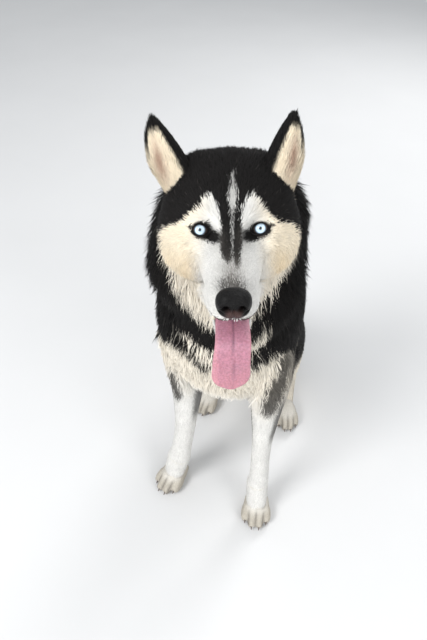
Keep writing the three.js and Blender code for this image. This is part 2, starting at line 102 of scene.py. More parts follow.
def pixel(points):
    """Where a point stands in the picture, across and down."""
    view = points - CAMERA_AT
    depth = view @ CAMERA_AIM
    scale = LENS / SENSOR * PICTURE[1] / depth
    down = np.cross(CAMERA_AIM, CAMERA_RIGHT)
    return PICTURE[0] / 2 + scale * (view @ CAMERA_RIGHT), PICTURE[1] / 2 + scale * (view @ down)


def through(values, t):
    """A smooth curve through evenly spaced rows of values, t from 0 to 1."""
    values = np.asarray(values, float)
    last = len(values) - 1
    place = np.clip(t, 0, 1) * last
    i = np.minimum(place.astype(int), last - 1)
    f = (place - i)[:, None]
    a, b, c, d = (values[np.clip(i + k, 0, last)] for k in (-1, 0, 1, 2))
    f2, f3 = f**2, f**3
    return (
        (2 * f3 - 3 * f2 + 1) * b
        + (f3 - 2 * f2 + f) * (c - a) / 2
        + (3 * f2 - 2 * f3) * c
        + (f3 - f2) * (d - b) / 2
    )


class Tube:
    """Oval rings along a smooth line. A row: middle, side, rise, half width, up, down, squareness."""

    def __init__(self, rings, dome=(3, 3)):
        self.rings = np.array([np.concatenate([np.ravel(x) for x in r]) for r in rings], float)
        self.dome = dome

    def points(self, t, angle, grow=0.0):
        r = through(self.rings, t)
        at, side, rise = r[:, :3], unit(r[:, 3:6]), unit(r[:, 6:9])
        power = 2 / r[:, 12]
        c, s = np.cos(angle), np.sin(angle)
        across = np.sign(c) * np.abs(c) ** power * np.maximum(r[:, 9] + grow, 0.5)
        tall = np.where(s > 0, r[:, 10], r[:, 11]) + grow
        height = np.sign(s) * np.abs(s) ** power * np.maximum(tall, 0.5)
        return at + side * across[:, None] + rise * height[:, None]

    def mesh(self, steps, sides, grow=0.0, start=0.0, end=1.0):
        """A closed mesh; grow is one size, or one for each end with an even change between them."""
        first, last = np.broadcast_to(grow, 2)
        t = np.repeat(np.linspace(start, end, steps + 1), sides)
        angle = np.tile(np.arange(sides) / sides * 2 * np.pi, steps + 1)
        points = self.points(t, angle, first + (last - first) * t)
        ends = through(self.rings, np.array([start, start + 0.02, end - 0.02, end]))[:, :3]
        low = ends[0] - unit(ends[1] - ends[0]) * (self.dome[0] + first)
        high = ends[3] + unit(ends[3] - ends[2]) * (self.dome[1] + last)
        faces = []
        for i in range(steps):
            for k in range(sides):
                a, b = i * sides + k, i * sides + (k + 1) % sides
                faces.append((a, b, b + sides, a + sides))
        n = len(points)
        for k in range(sides):
            m = (k + 1) % sides
            faces += [(n, m, k), (n + 1, steps * sides + k, steps * sides + m)]
        return np.vstack([points, low, high]), faces


# How square the rings are: 2 is an oval, and more is squarer
SQUARE = {"trunk": 2.2, "limb": 2.1, "head": 2.3, "jaw": 2.5, "tongue": 2.4, "ear": 2.0}


def ring_between(back, front, half, side=(1, 0, 0)):
    """A ring whose edges pass through a point on the back and one on the front."""
    upper, lower = np.array(back, float), np.array(front, float)
    span = upper - lower
    tall = np.linalg.norm(span) / 2
    return lower + span / 2, side, unit(span), half, tall, tall, SQUARE["trunk"]


def limb(stops, side=(1, 0, 0)):
    """Rings square to a path; each stop is x, y, z, half width, half depth."""
    places = [np.array(s[:3], float) for s in stops]
    rings = []
    for i, stop in enumerate(stops):
        along = unit(places[min(i + 1, len(stops) - 1)] - places[max(i - 1, 0)])
        across = unit(np.array(side, float) - along * np.dot(side, along))
        rise = np.cross(along, across)
        rings.append((places[i], across, rise, stop[3], stop[4], stop[4], SQUARE["limb"]))
    return rings


def head_ring(forward, top, bottom, half, middle=0.5, square=SQUARE["head"]):
    at = in_head(0, forward, bottom + (top - bottom) * middle)
    return at, LEFT, UP, half, (top - bottom) * (1 - middle), (top - bottom) * middle, square


def in_jaw(left, forward, up):
    f, u = forward - JAW_HINGE[0], up - JAW_HINGE[1]
    c, s = math.cos(math.radians(JAW_OPEN)), math.sin(math.radians(JAW_OPEN))
    return in_head(left, JAW_HINGE[0] + f * c + u * s, JAW_HINGE[1] - f * s + u * c)


def up_from_jaw(forward, up):
    """How high a point of the head's frame stands in the frame of the open jaw."""
    angle = math.radians(JAW_OPEN)
    return JAW_HINGE[1] + (forward - JAW_HINGE[0]) * math.sin(angle) + (up - JAW_HINGE[1]) * math.cos(angle)


JAW_UP = in_jaw(0, 0, 1) - in_jaw(0, 0, 0)


def jaw_ring(forward, top, bottom, half):
    tall = (top - bottom) / 2
    return in_jaw(0, forward, (top + bottom) / 2), LEFT, JAW_UP, half, tall, tall, SQUARE["jaw"]


skull = Tube(
    [
        head_ring(-128, 30, -58, 52),
        head_ring(-108, 55, -84, 70),
        head_ring(-84, 66, -92, 81, 0.42),
        head_ring(-60, 68, -90, 84, 0.4),
        head_ring(-36, 62, -84, 78, 0.42),
        head_ring(-14, 46, -74, 62),
        head_ring(6, 20, -62, 42),
        head_ring(28, 0, -62, 36, 0.42, 2.5),
        head_ring(50, -8, -61, 32, 0.42, 2.6),
        head_ring(72, -15, -60, 29, 0.45, 2.7),
        head_ring(90, -22, -59, 24, 0.45, 2.6),
        head_ring(100, -30, -56, 17, 0.5, 2.2),
    ],
    (6, 2),
)
jaw = Tube(
    [
        jaw_ring(-34, -50, -86, 34),
        jaw_ring(-8, -58, -90, 32),
        jaw_ring(20, -63, -88, 26),
        jaw_ring(45, -64, -85, 22),
        jaw_ring(66, -64, -82, 19),
        jaw_ring(80, -65, -78, 13),
    ]
)
neck = Tube(
    [
        ring_between((0, 158, 535), (0, -50, 462), 106),
        ring_between((-3, 142, 590), (3, -48, 510), 107),
        ring_between((-7, 122, 640), (8, -40, 556), 106, LEFT),
        ring_between((-11, 98, 680), (16, -22, 590), 97, LEFT),
        ring_between((-10, 72, 700), (20, -2, 618), 80, LEFT),
    ],
    (4, 4),
)
torso = Tube(
    [
        ring_between((0, 140, 585), (0, -40, 500), 98),
        ring_between((0, 165, 540), (0, -54, 446), 112),
        ring_between((0, 190, 485), (0, -44, 384), 116),
        ring_between((0, 232, 415), (0, -14, 322), 112),
        ring_between((0, 284, 335), (0, 36, 268), 104),
        ring_between((0, 332, 255), (0, 105, 208), 103),
        ring_between((0, 374, 178), (0, 185, 150), 106),
        ring_between((0, 404, 108), (0, 262, 82), 100),
        ring_between((0, 408, 50), (0, 318, 6), 78),
    ],
    (4, 6),
)
FRONT_LEGS = {
    "right": [
        (-70, 45, 430, 34, 62), (-68, 42, 350, 34, 50), (-60, 24, 290, 29, 38),
        (-59, 8, 225, 23, 26), (-63, 2, 170, 21, 22), (-70, -2, 115, 22, 21),
        (-76, -1, 85, 25, 24), (-82, -6, 55, 24, 21), (-86, -12, 32, 22, 18),
    ],
    "left": [
        (70, 45, 430, 34, 62), (76, 42, 350, 34, 50), (80, 24, 290, 28, 38),
        (82, 8, 225, 21, 26), (83, 3, 170, 19.5, 22), (85, -2, 115, 20.5, 21),
        (84, -3, 85, 23, 24), (87, -12, 55, 23, 21), (89, -20, 32, 22, 18),
    ],
}
# Each paw: the middle of its sole, how far it turns out, its half width and its length
PAWS = {
    ("front", "right"): ((-90, -14), 14, 29, 82),
    ("front", "left"): ((91, -22), 14, 29, 82),
    ("hind", "right"): ((-89, 186), 8, 26, 78),
    ("hind", "left"): ((92, 210), 20, 26, 78),
}
TOES = (-0.66, -0.23, 0.23, 0.66)
TOE_REACH = (0.36, 0.5, 0.5, 0.36)
TOE_SHORT = 4  # room for the short fur at the toes' ends
TOE_OUT = 1.06  # how far the toes spread past their places, as a share
# Along the instep: its place in the paw's length, height, half width as a share of the paw's, and half depth
INSTEP = ((-0.42, 20, 0.66, 17), (-0.18, 20, 0.86, 22), (0.06, 17, 0.9, 20), (0.24, 13, 0.8, 14))
# Along a toe: its spread, how far behind its reach, height, share of its half width, and half depth
TOE = ((0.8, 40, 17, 0.8, 12), (1, 26, 16, 1, 15), (TOE_OUT, 12, 13, 1.02, 14), (TOE_OUT, 4, 11, 0.8, 9.5))
TOE_HALF = 0.33  # of the paw's half width
# Along a claw: ahead of the toe's reach, height, half width and half depth
CLAW = ((-12, 12, 1.9, 2.6), (-8.5, 11, 1.8, 2.3), (-5.5, 8.9, 1.4, 1.8), (-3.2, 6.4, 0.7, 0.8))


def paw_turn(pair, side):
    """The cosine and the sine of the angle by which a paw turns out."""
    angle = math.radians(PAWS[pair, side][1]) * SIDES[side]
    return math.cos(angle), math.sin(angle)


def on_paw(pair, side, across, ahead, up):
    (x, y), _, _, _ = PAWS[pair, side]
    c, s = paw_turn(pair, side)
    return x + across * c + ahead * s, y + across * s - ahead * c, up


def paw_tubes(pair, side):
    _, _, half, long = PAWS[pair, side]

    def stop(across, ahead, up, *radii):
        return (*on_paw(pair, side, across, ahead, up), *radii)

    flat = (*paw_turn(pair, side), 0)
    instep = [stop(0, ahead * long, up, wide * half, deep) for ahead, up, wide, deep in INSTEP]
    tubes = [Tube(limb(instep, flat), (4, 3))]
    for place, share in zip(TOES, TOE_REACH):
        reach, r = share * long - TOE_SHORT, TOE_HALF * half
        toe = [
            stop(place * half * out, reach - back, up, r * wide, deep)
            for out, back, up, wide, deep in TOE
        ]
        tubes.append(Tube(limb(toe, flat), (2, 2)))
    return tubes


def claw_tubes(pair, side):
    _, _, half, long = PAWS[pair, side]
    tubes = []
    for place, share in zip(TOES, TOE_REACH):
        stops = [
            (*on_paw(pair, side, place * half * TOE_OUT, share * long + ahead, up), wide, deep)
            for ahead, up, wide, deep in CLAW
        ]
        tubes.append(Tube(limb(stops, (*paw_turn(pair, side), 0)), (0.5, 0.5)))
    return tubes


HAUNCH_IN = {"right": 0, "left": 9}  # the left haunch is drawn in under the trunk
# Along a thigh: a point on its back, one on its front, and its half width
THIGH = (
    ((54, 400, 84), (54, 330, 0), 36),
    ((60, 388, 168), (62, 276, 16), 48),
    ((62, 338, 232), (65, 222, 84), 46),
    ((67, 288, 264), (69, 190, 152), 37),
    ((72, 242, 274), (74, 176, 200), 25),
)
# Down a shank: x, y, z, half width and half depth
SHANK = ((74, 206, 220, 25, 34), (75, 236, 168, 26, 36), (74, 280, 108, 24, 32))


def haunch(side, x, y, z):
    """A point of the haunch, x out from the middle of the body."""
    return SIDES[side] * x - HAUNCH_IN[side], y, z


def thigh(side):
    rings = [ring_between(haunch(side, *back), haunch(side, *front), half) for back, front, half in THIGH]
    return Tube(rings, (4, 5))


def hind_leg(side):
    s = SIDES[side]
    heel_x, heel_y, _ = on_paw("hind", side, 0, -0.3 * PAWS["hind", side][3], 0)
    stops = [(*haunch(side, *stop[:3]), *stop[3:]) for stop in SHANK]
    stops += [(s * 70, 325, 56, 19, 24), (s * 70, 326, 24, 19, 24)]
    stops += [((s * 72 + heel_x) / 2, (312 + heel_y) / 2, 20, 19, 21), (heel_x, heel_y, 20, 20, 19)]
    return Tube(limb(stops), (4, 3))


tail = Tube(
    limb(
        [
            (0, 370, 56, 30, 30), (-4, 418, 46, 38, 38), (-16, 466, 44, 45, 45), (-42, 512, 44, 49, 47),
            (-82, 548, 42, 49, 45), (-128, 566, 38, 45, 41), (-172, 562, 30, 36, 33), (-206, 546, 20, 20, 20),
        ]
    ),
    (4, 4),
)
# Each ear: its base and tip in the head's frame, its half width and how far it opens outward
EARS = {
    "right": ((-62, -56, 34), (-80, -62, 104), 28, 20),
    "left": ((58, -56, 36), (70, -62, 104), 26, 26),
}
# Along the ear: its share of the full half width, and how far its outer edge is drawn in
EAR_PROFILE = (
    (-0.34, 0.8, 0.5), (0.0, 0.98, 0.42), (0.28, 1.0, 0.2), (0.55, 0.8, 0.08), (0.8, 0.5, 0), (1.0, 0.16, 0))
EAR_DRAWN_IN = {"right": 1.0, "left": 0.3}


def ear_facing(side):
    angle = math.radians(EARS[side][3]) * SIDES[side]
    across = LEFT * math.cos(angle) - FORWARD * math.sin(angle)
    return across, FORWARD * math.cos(angle) + LEFT * math.sin(angle)


def ear_line(side):
    """The base of an ear, and the way from it to the tip."""
    base, tip, _, _ = EARS[side]
    return in_head(*base), in_head(*tip) - in_head(*base)


def along_ear(points, side):
    """How far points stand from an ear's base towards its tip, as a share."""
    base, axis = ear_line(side)
    return (points - base) @ axis / (axis @ axis)


def ear_tube(side, shrink, ahead):
    base, tip, half, _ = EARS[side]
    across, face = ear_facing(side)
    rings = []
    for place, width, inset in EAR_PROFILE:
        drawn = inset * EAR_DRAWN_IN[side] * half / 2
        at = in_head(*(np.array(base) + (np.array(tip) - np.array(base)) * place)) + face * ahead
        at = at - across * SIDES[side] * drawn
        deep = max(15 * (0.4 + 0.6 * width) - shrink, 1.5)
        rings.append((at, across, face, max(half * width - drawn - shrink, 1.5), deep, deep, SQUARE["ear"]))
    return Tube(rings, (2, 1))


def obj_from(name, points, faces, material=None):
    mesh = bpy.data.meshes.new(name)
    mesh.from_pydata(((np.asarray(points) + SHIFT) * MM).tolist(), [], [tuple(f) for f in faces])
    mesh.validate()
    mesh.shade_smooth()
    piece = bpy.data.objects.new(name, mesh)
    bpy.context.scene.collection.objects.link(piece)
    if material:
        mesh.materials.append(material)
    return piece


def merged(meshes):
    points, faces, count = [], [], 0
    for p, f in meshes:
        points.append(p)
        faces += [tuple(i + count for i in face) for face in f]
        count += len(p)
    return np.vstack(points), faces


def read(rows, key, kind=float, width=3):
    """One property of many points, loops or triangles, a row for each."""
    values = np.empty(len(rows) * width, kind)
    rows.foreach_get(key, values)
    return values.reshape(-1, width)


def surface(piece):
    """A piece's points in millimetres and its faces, with its modifiers applied."""
    depsgraph = bpy.context.evaluated_depsgraph_get()
    mesh = bpy.data.meshes.new_from_object(piece.evaluated_get(depsgraph))
    return read(mesh.vertices, "co") / MM - SHIFT, [tuple(p.vertices) for p in mesh.polygons]


def remeshed(name, meshes, voxel, rounds):
    """One closed surface round overlapping bodies, as points in millimetres and faces."""
    rough = obj_from(name, *merged(meshes))
    remesh = rough.modifiers.new("one surface", "REMESH")
    remesh.mode, remesh.voxel_size = "VOXEL", voxel * MM
    even = rough.modifiers.new("even", "SMOOTH")
    even.factor, even.iterations = 0.5, rounds
    points, faces = surface(rough)
    bpy.data.objects.remove(rough)
    return points, faces


# The skin, inside the tips of the coat by its depth
DEPTH = {
    "neck": 12, "torso": 9, "rump": 27, "leg": 3, "paw": 1.5, "toe": 1.8, "thigh": 15, "shank": 5,
    "tail": 20, "skull": 5, "jaw": 2,
}
RUMP_ASIDE = 14  # the weight rests on the right haunch
torso.rings[4:8, 0] -= RUMP_ASIDE

# Along each upper lip: left, forward, up, half width and half depth
UPPER_LIP = (
    (0, 96, -52, 4, 4), (12, 90, -54, 4.5, 6), (20, 72, -55, 5, 7),
    (23, 50, -56, 5, 7), (26, 28, -58, 5, 7), (29, 8, -62, 4, 4),
)


def lip_tube(s):
    return Tube(limb([(*in_head(s * l, f, u), w, d) for l, f, u, w, d in UPPER_LIP], LEFT), (2, 2))


def front_leg(side):
    return Tube(limb(FRONT_LEGS[side]), (4, 3))


head_meshes = [skull.mesh(60, 72, -DEPTH["skull"]), jaw.mesh(24, 32, -DEPTH["jaw"])]
head_meshes += [lip_tube(s).mesh(24, 14) for s in SIDES.values()]
head_points, head_faces = remeshed("head_skin", head_meshes, HEAD_VOXEL, 6)
EYE_OPENING = (8.2, 5.6)  # half the opening between the lids, across and up
BROW_RISE = 3.0
CORNER_SINK = 2.0  # of the eyes' inner corners
FURROW = 2.2


def shape_head(points):
    """Presses the eyes' hollows, raises the brows, sinks the eyes' inner corners, draws the furrow of the
    forehead and narrows the upper muzzle.
    """
    l, f, u = to_head(points).T
    front = smooth(-60, -20, f)
    for s in SIDES.values():
        across, tall = l - s * EYE_SPACING / 2, u - EYE_CENTRE[1] - 3
        r = np.hypot(across, tall)
        lid = EYE_CENTRE[0] + np.sqrt(np.maximum((EYEBALL + 1.6) ** 2 - np.minimum(r, 11) ** 2, 0))
        lid -= 0.25 * np.maximum(r - 11, 0)
        keep = smooth(8, 27, r + 2.5 * np.maximum(tall, 0) / 10)
        f = np.where((f > -30) & (r < 32), lid + (f - lid) * keep, f)
        brow = np.exp(-((l - s * 25) ** 2 / 130 + (u - 16) ** 2 / 60))
        f = f + BROW_RISE * brow * front
        inner = np.exp(-((l - s * 17) ** 2 / 40 + (u + 8) ** 2 / 90))
        f = f - CORNER_SINK * inner * front
        open_eye = np.hypot(across / EYE_OPENING[0], (tall - 0.4) / EYE_OPENING[1])
        f = np.where((open_eye < 1) & (f > -14), np.minimum(f, EYE_CENTRE[0] - 4), f)
    furrow = np.exp(-(l**2) / 28) * smooth(-70, -30, f) * (1 - smooth(4, 22, f)) * smooth(0, 25, u + 0.4 * f)
    u = u - FURROW * furrow
    pinch = np.exp(-((f - 62) ** 2) / 700) * smooth(-48, -30, u)
    l = l * (1 - 0.05 * pinch)
    return EYES_AT + np.stack([l, f, u], 1) @ HEAD_AXES


head_points = shape_head(head_points)

body_meshes = [
    neck.mesh(24, 48, -DEPTH["neck"]),
    torso.mesh(40, 56, (-DEPTH["torso"], -DEPTH["rump"])),
    tail.mesh(40, 28, -DEPTH["tail"]),
]
for side in SIDES:
    body_meshes.append(front_leg(side).mesh(36, 28, -DEPTH["leg"]))
    body_meshes.append(thigh(side).mesh(28, 36, -DEPTH["thigh"]))
    body_meshes.append(hind_leg(side).mesh(36, 28, -DEPTH["shank"]))
paw_meshes = [
    tube.mesh(16, 20, -DEPTH["toe" if number else "paw"])
    for key in PAWS
    for number, tube in enumerate(paw_tubes(*key))
]
paw_meshes += [front_leg(side).mesh(12, 24, -DEPTH["leg"] - 1, 0.72, 1.0) for side in SIDES]
regions = {
    "head": (head_points, head_faces),
    "body": remeshed("body_skin", body_meshes, BODY_VOXEL, 8),
    "paws": remeshed("paw_skin", paw_meshes, PAW_VOXEL, 2),
}
for side in SIDES:
    rough = obj_from("outer_ear", *ear_tube(side, 1.5, 0).mesh(40, 48))
    cup = obj_from("inner_ear", *ear_tube(side, 5.0, 9).mesh(40, 48, 0, 0.22, 1.0))
    cut = rough.modifiers.new("cup", "BOOLEAN")
    cut.operation, cut.object, cut.solver = "DIFFERENCE", cup, "EXACT"
    regions[f"ear_{side}"] = remeshed("ear_skin", [surface(rough)], EAR_VOXEL, 3)
    bpy.data.objects.remove(rough)
    bpy.data.objects.remove(cup)

for points, _ in regions.values():
    points[:, 2] = np.maximum(points[:, 2], CLEAR["skin"])
skin_points, skin_faces = merged(list(regions.values()))
region_of = np.concatenate([np.full(len(p), i) for i, (p, _) in enumerate(regions.values())])
REGION = {name: i for i, name in enumerate(regions)}
skin = obj_from("skin", skin_points, skin_faces)
normals = read(skin.data.vertices, "normal")

# The lie of the coat, from the lines that the limbs and trunk follow
LINES = {
    "neck": (neck, -1),
    "torso": (torso, 1),
    "tail": (tail, 1),
    **{f"leg_{s}": (front_leg(s), 1) for s in SIDES},
    **{f"thigh_{s}": (thigh(s), -1) for s in SIDES},
    **{f"shank_{s}": (hind_leg(s), 1) for s in SIDES},
}


def nearest_lines(points):
    """How near each body line is, for its size, and which way the line runs there."""
    t = np.linspace(0, 1, 33)
    nearness, ways = [], []
    for tube, sign in LINES.values():
        r = through(tube.rings, t)
        mids = r[:, :3]
        size = (r[:, 9] + (r[:, 10] + r[:, 11]) / 2) / 2
        along = unit(np.gradient(mids, axis=0)) * sign
        gap = np.linalg.norm(points[:, None] - mids[None], axis=2) / size
        best = gap.argmin(1)
        nearness.append(gap.min(1))
        ways.append(along[best])
    return np.array(nearness), np.array(ways)


near, ways = nearest_lines(skin_points)
weight = np.exp(-4.0 * near)[:, :, None]
lie = (ways * weight).sum(0) / np.maximum(weight.sum(0), 1e-9)
closest = np.array(list(LINES))[near.argmin(0)]

l, f, u = to_head(skin_points).T
on_head = region_of == REGION["head"]
on_paws = region_of == REGION["paws"]
back_sweep = -FORWARD[None] + 0.35 * np.sign(l)[:, None] * LEFT[None] * smooth(4, 30, np.abs(l))[:, None]
back_sweep = back_sweep - UP[None] * (1.25 * smooth(0, -40, u) * (1 - smooth(20, 60, f)))[:, None]
back_sweep = back_sweep + UP[None] * (0.6 * smooth(0, 40, u))[:, None]
lie[on_head] = back_sweep[on_head]
lie[on_paws] = np.array([0, -0.8, -0.6])
for side in SIDES:
    on_ear = region_of == REGION[f"ear_{side}"]
    lie[on_ear] = unit(ear_line(side)[1])
lie -= normals * (lie * normals).sum(1, keepdims=True)
lie = unit(lie)

# The markings: outlines of the pale and dark fields as they stand in the picture, in its pixels
FACE_PALE = [
    (159, 231), (165, 226), (174, 224), (181, 221), (187, 214), (193, 208), (198, 204), (201, 197),
    (206, 193), (212, 194), (216, 202), (220, 212), (221, 221), (241, 221), (240, 213), (243, 204),
    (247, 196), (253, 192), (259, 196), (263, 203), (269, 210), (276, 218), (284, 222), (294, 223),
    (300, 229), (302, 238), (299, 252), (294, 267), (290, 278), (284, 289), (276, 300), (267, 310),
    (257, 319), (249, 328), (213, 331), (205, 327), (195, 318), (186, 308), (179, 299), (173, 290),
    (170, 280), (166, 269), (161, 258), (159, 245),
]
BAND_LEFT = [
    (212, 193), (220, 190), (227, 193), (229, 206), (232, 222), (232.4, 240), (232.4, 256), (229, 264),
    (223, 258), (220, 250), (219, 238), (221, 224), (219, 208),
]
BAND_RIGHT = [
    (238, 190), (247, 193), (243, 204), (240, 214), (243, 228), (243, 240), (241, 252), (240, 266),
    (236, 270), (232.6, 256), (232.6, 240), (232.6, 222), (235, 206),
]
BLAZE = [
    (232.2, 170), (233.6, 170), (235.4, 184), (236.8, 196), (234.8, 206), (233.0, 214), (232.8, 264),
    (232, 264), (231.6, 214), (229.6, 206), (228.2, 196), (230.6, 184),
]
CORNER_LEFT = [
    (204, 224), (211, 228), (219, 232), (220, 240), (214, 244), (207, 241), (198, 238), (191, 232),
    (193, 226),
]
CORNER_RIGHT = [
    (257, 224), (250, 228), (244, 231), (243, 239), (249, 242), (256, 241), (264, 238), (271, 231),
    (269, 225),
]
TEAR_LEFT = [(186, 226), (193, 225), (195, 229), (189, 229)]
TEAR_RIGHT = [(277, 224), (270, 223), (267, 228), (274, 227)]
# Painted shade of the crease at one corner of the mouth
LIP_CORNER_CREASE_SHADE = [
    (189, 264), (190.5, 263.5), (195, 270), (200, 279), (203, 288), (201.5, 288), (197.5, 279), (193, 270),
]
CHEST_PALE = [
    (120, 338), (157, 340), (168, 344), (180, 353), (190, 361), (200, 371), (206, 374), (213, 368),
    (249, 366), (253, 373), (262, 368), (272, 361), (285, 355), (300, 352), (330, 420), (330, 640), (60, 640),
]
STREAK_LEFT = [(176, 337), (186, 340), (195, 347), (205, 357), (214, 358), (214, 370), (203, 366), (190, 351)]
STREAK_RIGHT = [
    (247, 345), (255, 345), (264, 336), (271, 330), (269, 337), (262, 348), (255, 357), (247, 368),
]
LEG_MARK_LEFT = [(169, 372), (174, 377), (179, 387), (183, 398), (177, 402), (172, 392), (168, 380)]
LEG_MARK_RIGHT = [
    (300, 350), (296, 362), (290, 376), (286, 391), (280, 405), (272, 417), (264, 418), (261, 411),
    (266, 396), (271, 386), (279, 376), (284, 362), (288, 353),
]

BLACK = np.array([0.0056, 0.0050, 0.0048])
GREY = np.array([0.10, 0.09, 0.08])
SNOW = np.array([0.63, 0.62, 0.595])
CREAM = np.array([0.75, 0.66, 0.51])
TOE_TAN = np.array([0.47, 0.43, 0.36])
HONEY = np.array([0.70, 0.54, 0.32])
ROSE = np.array([0.36, 0.22, 0.16])
CHEST_WHITE = SNOW * 0.5 + CREAM * 0.54
# The throat's cream, painted a little brighter than the chest's to make up for the shade under the chin
THROAT_WHITE_PAINTED_LIGHT = SNOW * 0.5 + CREAM * 0.56
# The legs' pure white, painted brighter than the muzzle's to make up for the weaker light on the legs
LIMB_WHITE_PAINTED_LIGHT = SNOW * 1.08
PAW_WHITE = SNOW * 0.75 + CREAM * 0.25
# Painted shade inside the open mouth, over its dark red flesh
MOUTH_SHADE = np.array([0.035, 0.014, 0.014])
COAT_DEPTH_SHADE = 0.92  # how bright the skin is beside the tufts on it, painted darker for the shade under the coat
# Soft spots in the picture: strength, middle across and down, reach across and down
HONEY_SPOTS = ((1, 186, 280, 9, 28), (1, 281, 270, 9, 26), (0.5, 168, 262, 8, 20))
SPECKLES = ((0.5, 232, 266, 11, 22), (1.7, 232, 285, 14, 8))
BRIDGE = ((1, 232, 273, 13, 15),)
BESIDE_BANDS = ((1, 216, 240, 8, 12), (1, 246, 238, 8, 12))
FLECKS = ((0.4, 185, 243, 2.2, 2.0), (0.3, 279, 238, 3.0, 5.0))
EYE_RINGS = (((1, 201, 229, 10.5, 8.5),), ((1, 261, 229, 11, 8.5),))
# Painted shade along the grooves between the toes: where its lines run and how wide it is
CREASES = (-0.47, 0, 0.47)  # across the paw, in half widths
CREASE_SHADE_WIDTH = 0.075
THROAT_LOW = 470  # above it the body carries the cheeks' colours


def field(outline, x, y, feather):
    """1 inside an outline and 0 outside it, softened over feather pixels to either side."""
    corners = np.array(outline, float)
    following = np.roll(corners, -1, axis=0)
    inside = np.zeros(len(x), bool)
    nearest = np.full(len(x), 1e9)
    for (ax, ay), (bx, by) in zip(corners, following):
        crosses = (ay > y) != (by > y)
        with np.errstate(divide="ignore", invalid="ignore"):
            inside ^= crosses & (x < (bx - ax) * (y - ay) / (by - ay) + ax)
        edge = np.array([bx - ax, by - ay])
        t = np.clip(((x - ax) * edge[0] + (y - ay) * edge[1]) / (edge @ edge), 0, 1)
        nearest = np.minimum(nearest, np.hypot(x - ax - t * edge[0], y - ay - t * edge[1]))
    signed = np.where(inside, nearest, -nearest)
    return smooth(-feather, feather, signed)


def either(outlines, x, y, feather):
    """1 inside any of some outlines and 0 outside them all, softened at their edges."""
    return np.maximum.reduce([field(outline, x, y, feather) for outline in outlines])


def spots(x, y, rows):
    return sum(
        strength * np.exp(-(((x - at_x) / wide) ** 2 + ((y - at_y) / tall) ** 2))
        for strength, at_x, at_y, wide, tall in rows
    )


def mixed(base, colour, share):
    return base + (colour - base) * np.asarray(share)[:, None]


def toe_crease_shade(x, y):
    """Painted shade in the grooves between the toes: 1 along the lines between them and 0 away from them."""
    crease_shade = np.zeros(len(x))
    for (pair, side), ((at_x, at_y), _, half, long) in PAWS.items():
        c, s = paw_turn(pair, side)
        across = ((x - at_x) * c + (y - at_y) * s) / half
        ahead = ((x - at_x) * s - (y - at_y) * c) / long
        gaps = sum(np.exp(-(((across - place) / CREASE_SHADE_WIDTH) ** 2)) for place in CREASES)
        crease_shade = np.maximum(crease_shade, gaps * smooth(0.08, 0.26, ahead) * (ahead < 0.7) * (np.abs(across) < 1.4))
    return crease_shade


def trunk_colour(points, normal, region, x, y):
    """The colour of the trunk, tail, limbs and paws."""
    px, py, pz = points.T
    front = smooth(60, 10, py) * smooth(-0.35, 0.05, -normal[:, 1] + 0.6 * normal[:, 2])
    shown = np.clip(field(CHEST_PALE, x, y, 1.2) + either((STREAK_LEFT, STREAK_RIGHT), x, y, 1.5), 0, 1)
    legs = smooth(340, 300, pz) * smooth(120, 80, py)
    belly = smooth(0.1, -0.3, normal[:, 2]) * smooth(300, 250, py) * smooth(400, 350, pz)
    hind = smooth(150, 110, pz + 0.25 * (py - 200)) * smooth(150, 180, py) * smooth(400, 330, py)
    tail_end = smooth(470, 500, py) * smooth(-150, -190, px)
    pale = np.clip(np.maximum.reduce([shown * front, legs, belly, hind, tail_end]), 0, 1)
    colour = mixed(BLACK, CHEST_WHITE, pale)
    # the legs' white, painted brighter for the weaker light that falls on them
    colour = mixed(colour, LIMB_WHITE_PAINTED_LIGHT, pale * smooth(370, 270, pz) * smooth(150, 60, py))
    marks = 0.92 * either((LEG_MARK_LEFT, LEG_MARK_RIGHT), x, y, 2.4)
    outer = smooth(0.72, 0.95, np.abs(normal[:, 0])) * smooth(210, 250, pz) * smooth(360, 320, pz)
    grey = np.maximum(marks * front * smooth(120, 200, pz), 0.75 * outer * legs)
    colour = mixed(colour, GREY * 0.28, grey)
    paws = region == REGION["paws"]
    colour[paws] = PAW_WHITE
    colour = mixed(colour, TOE_TAN, paws * smooth(34, 24, pz) * 0.8)
    # painted shade in the grooves between the toes
    return mixed(colour, GREY * 1.5, toe_crease_shade(px, py) * paws * 0.6)


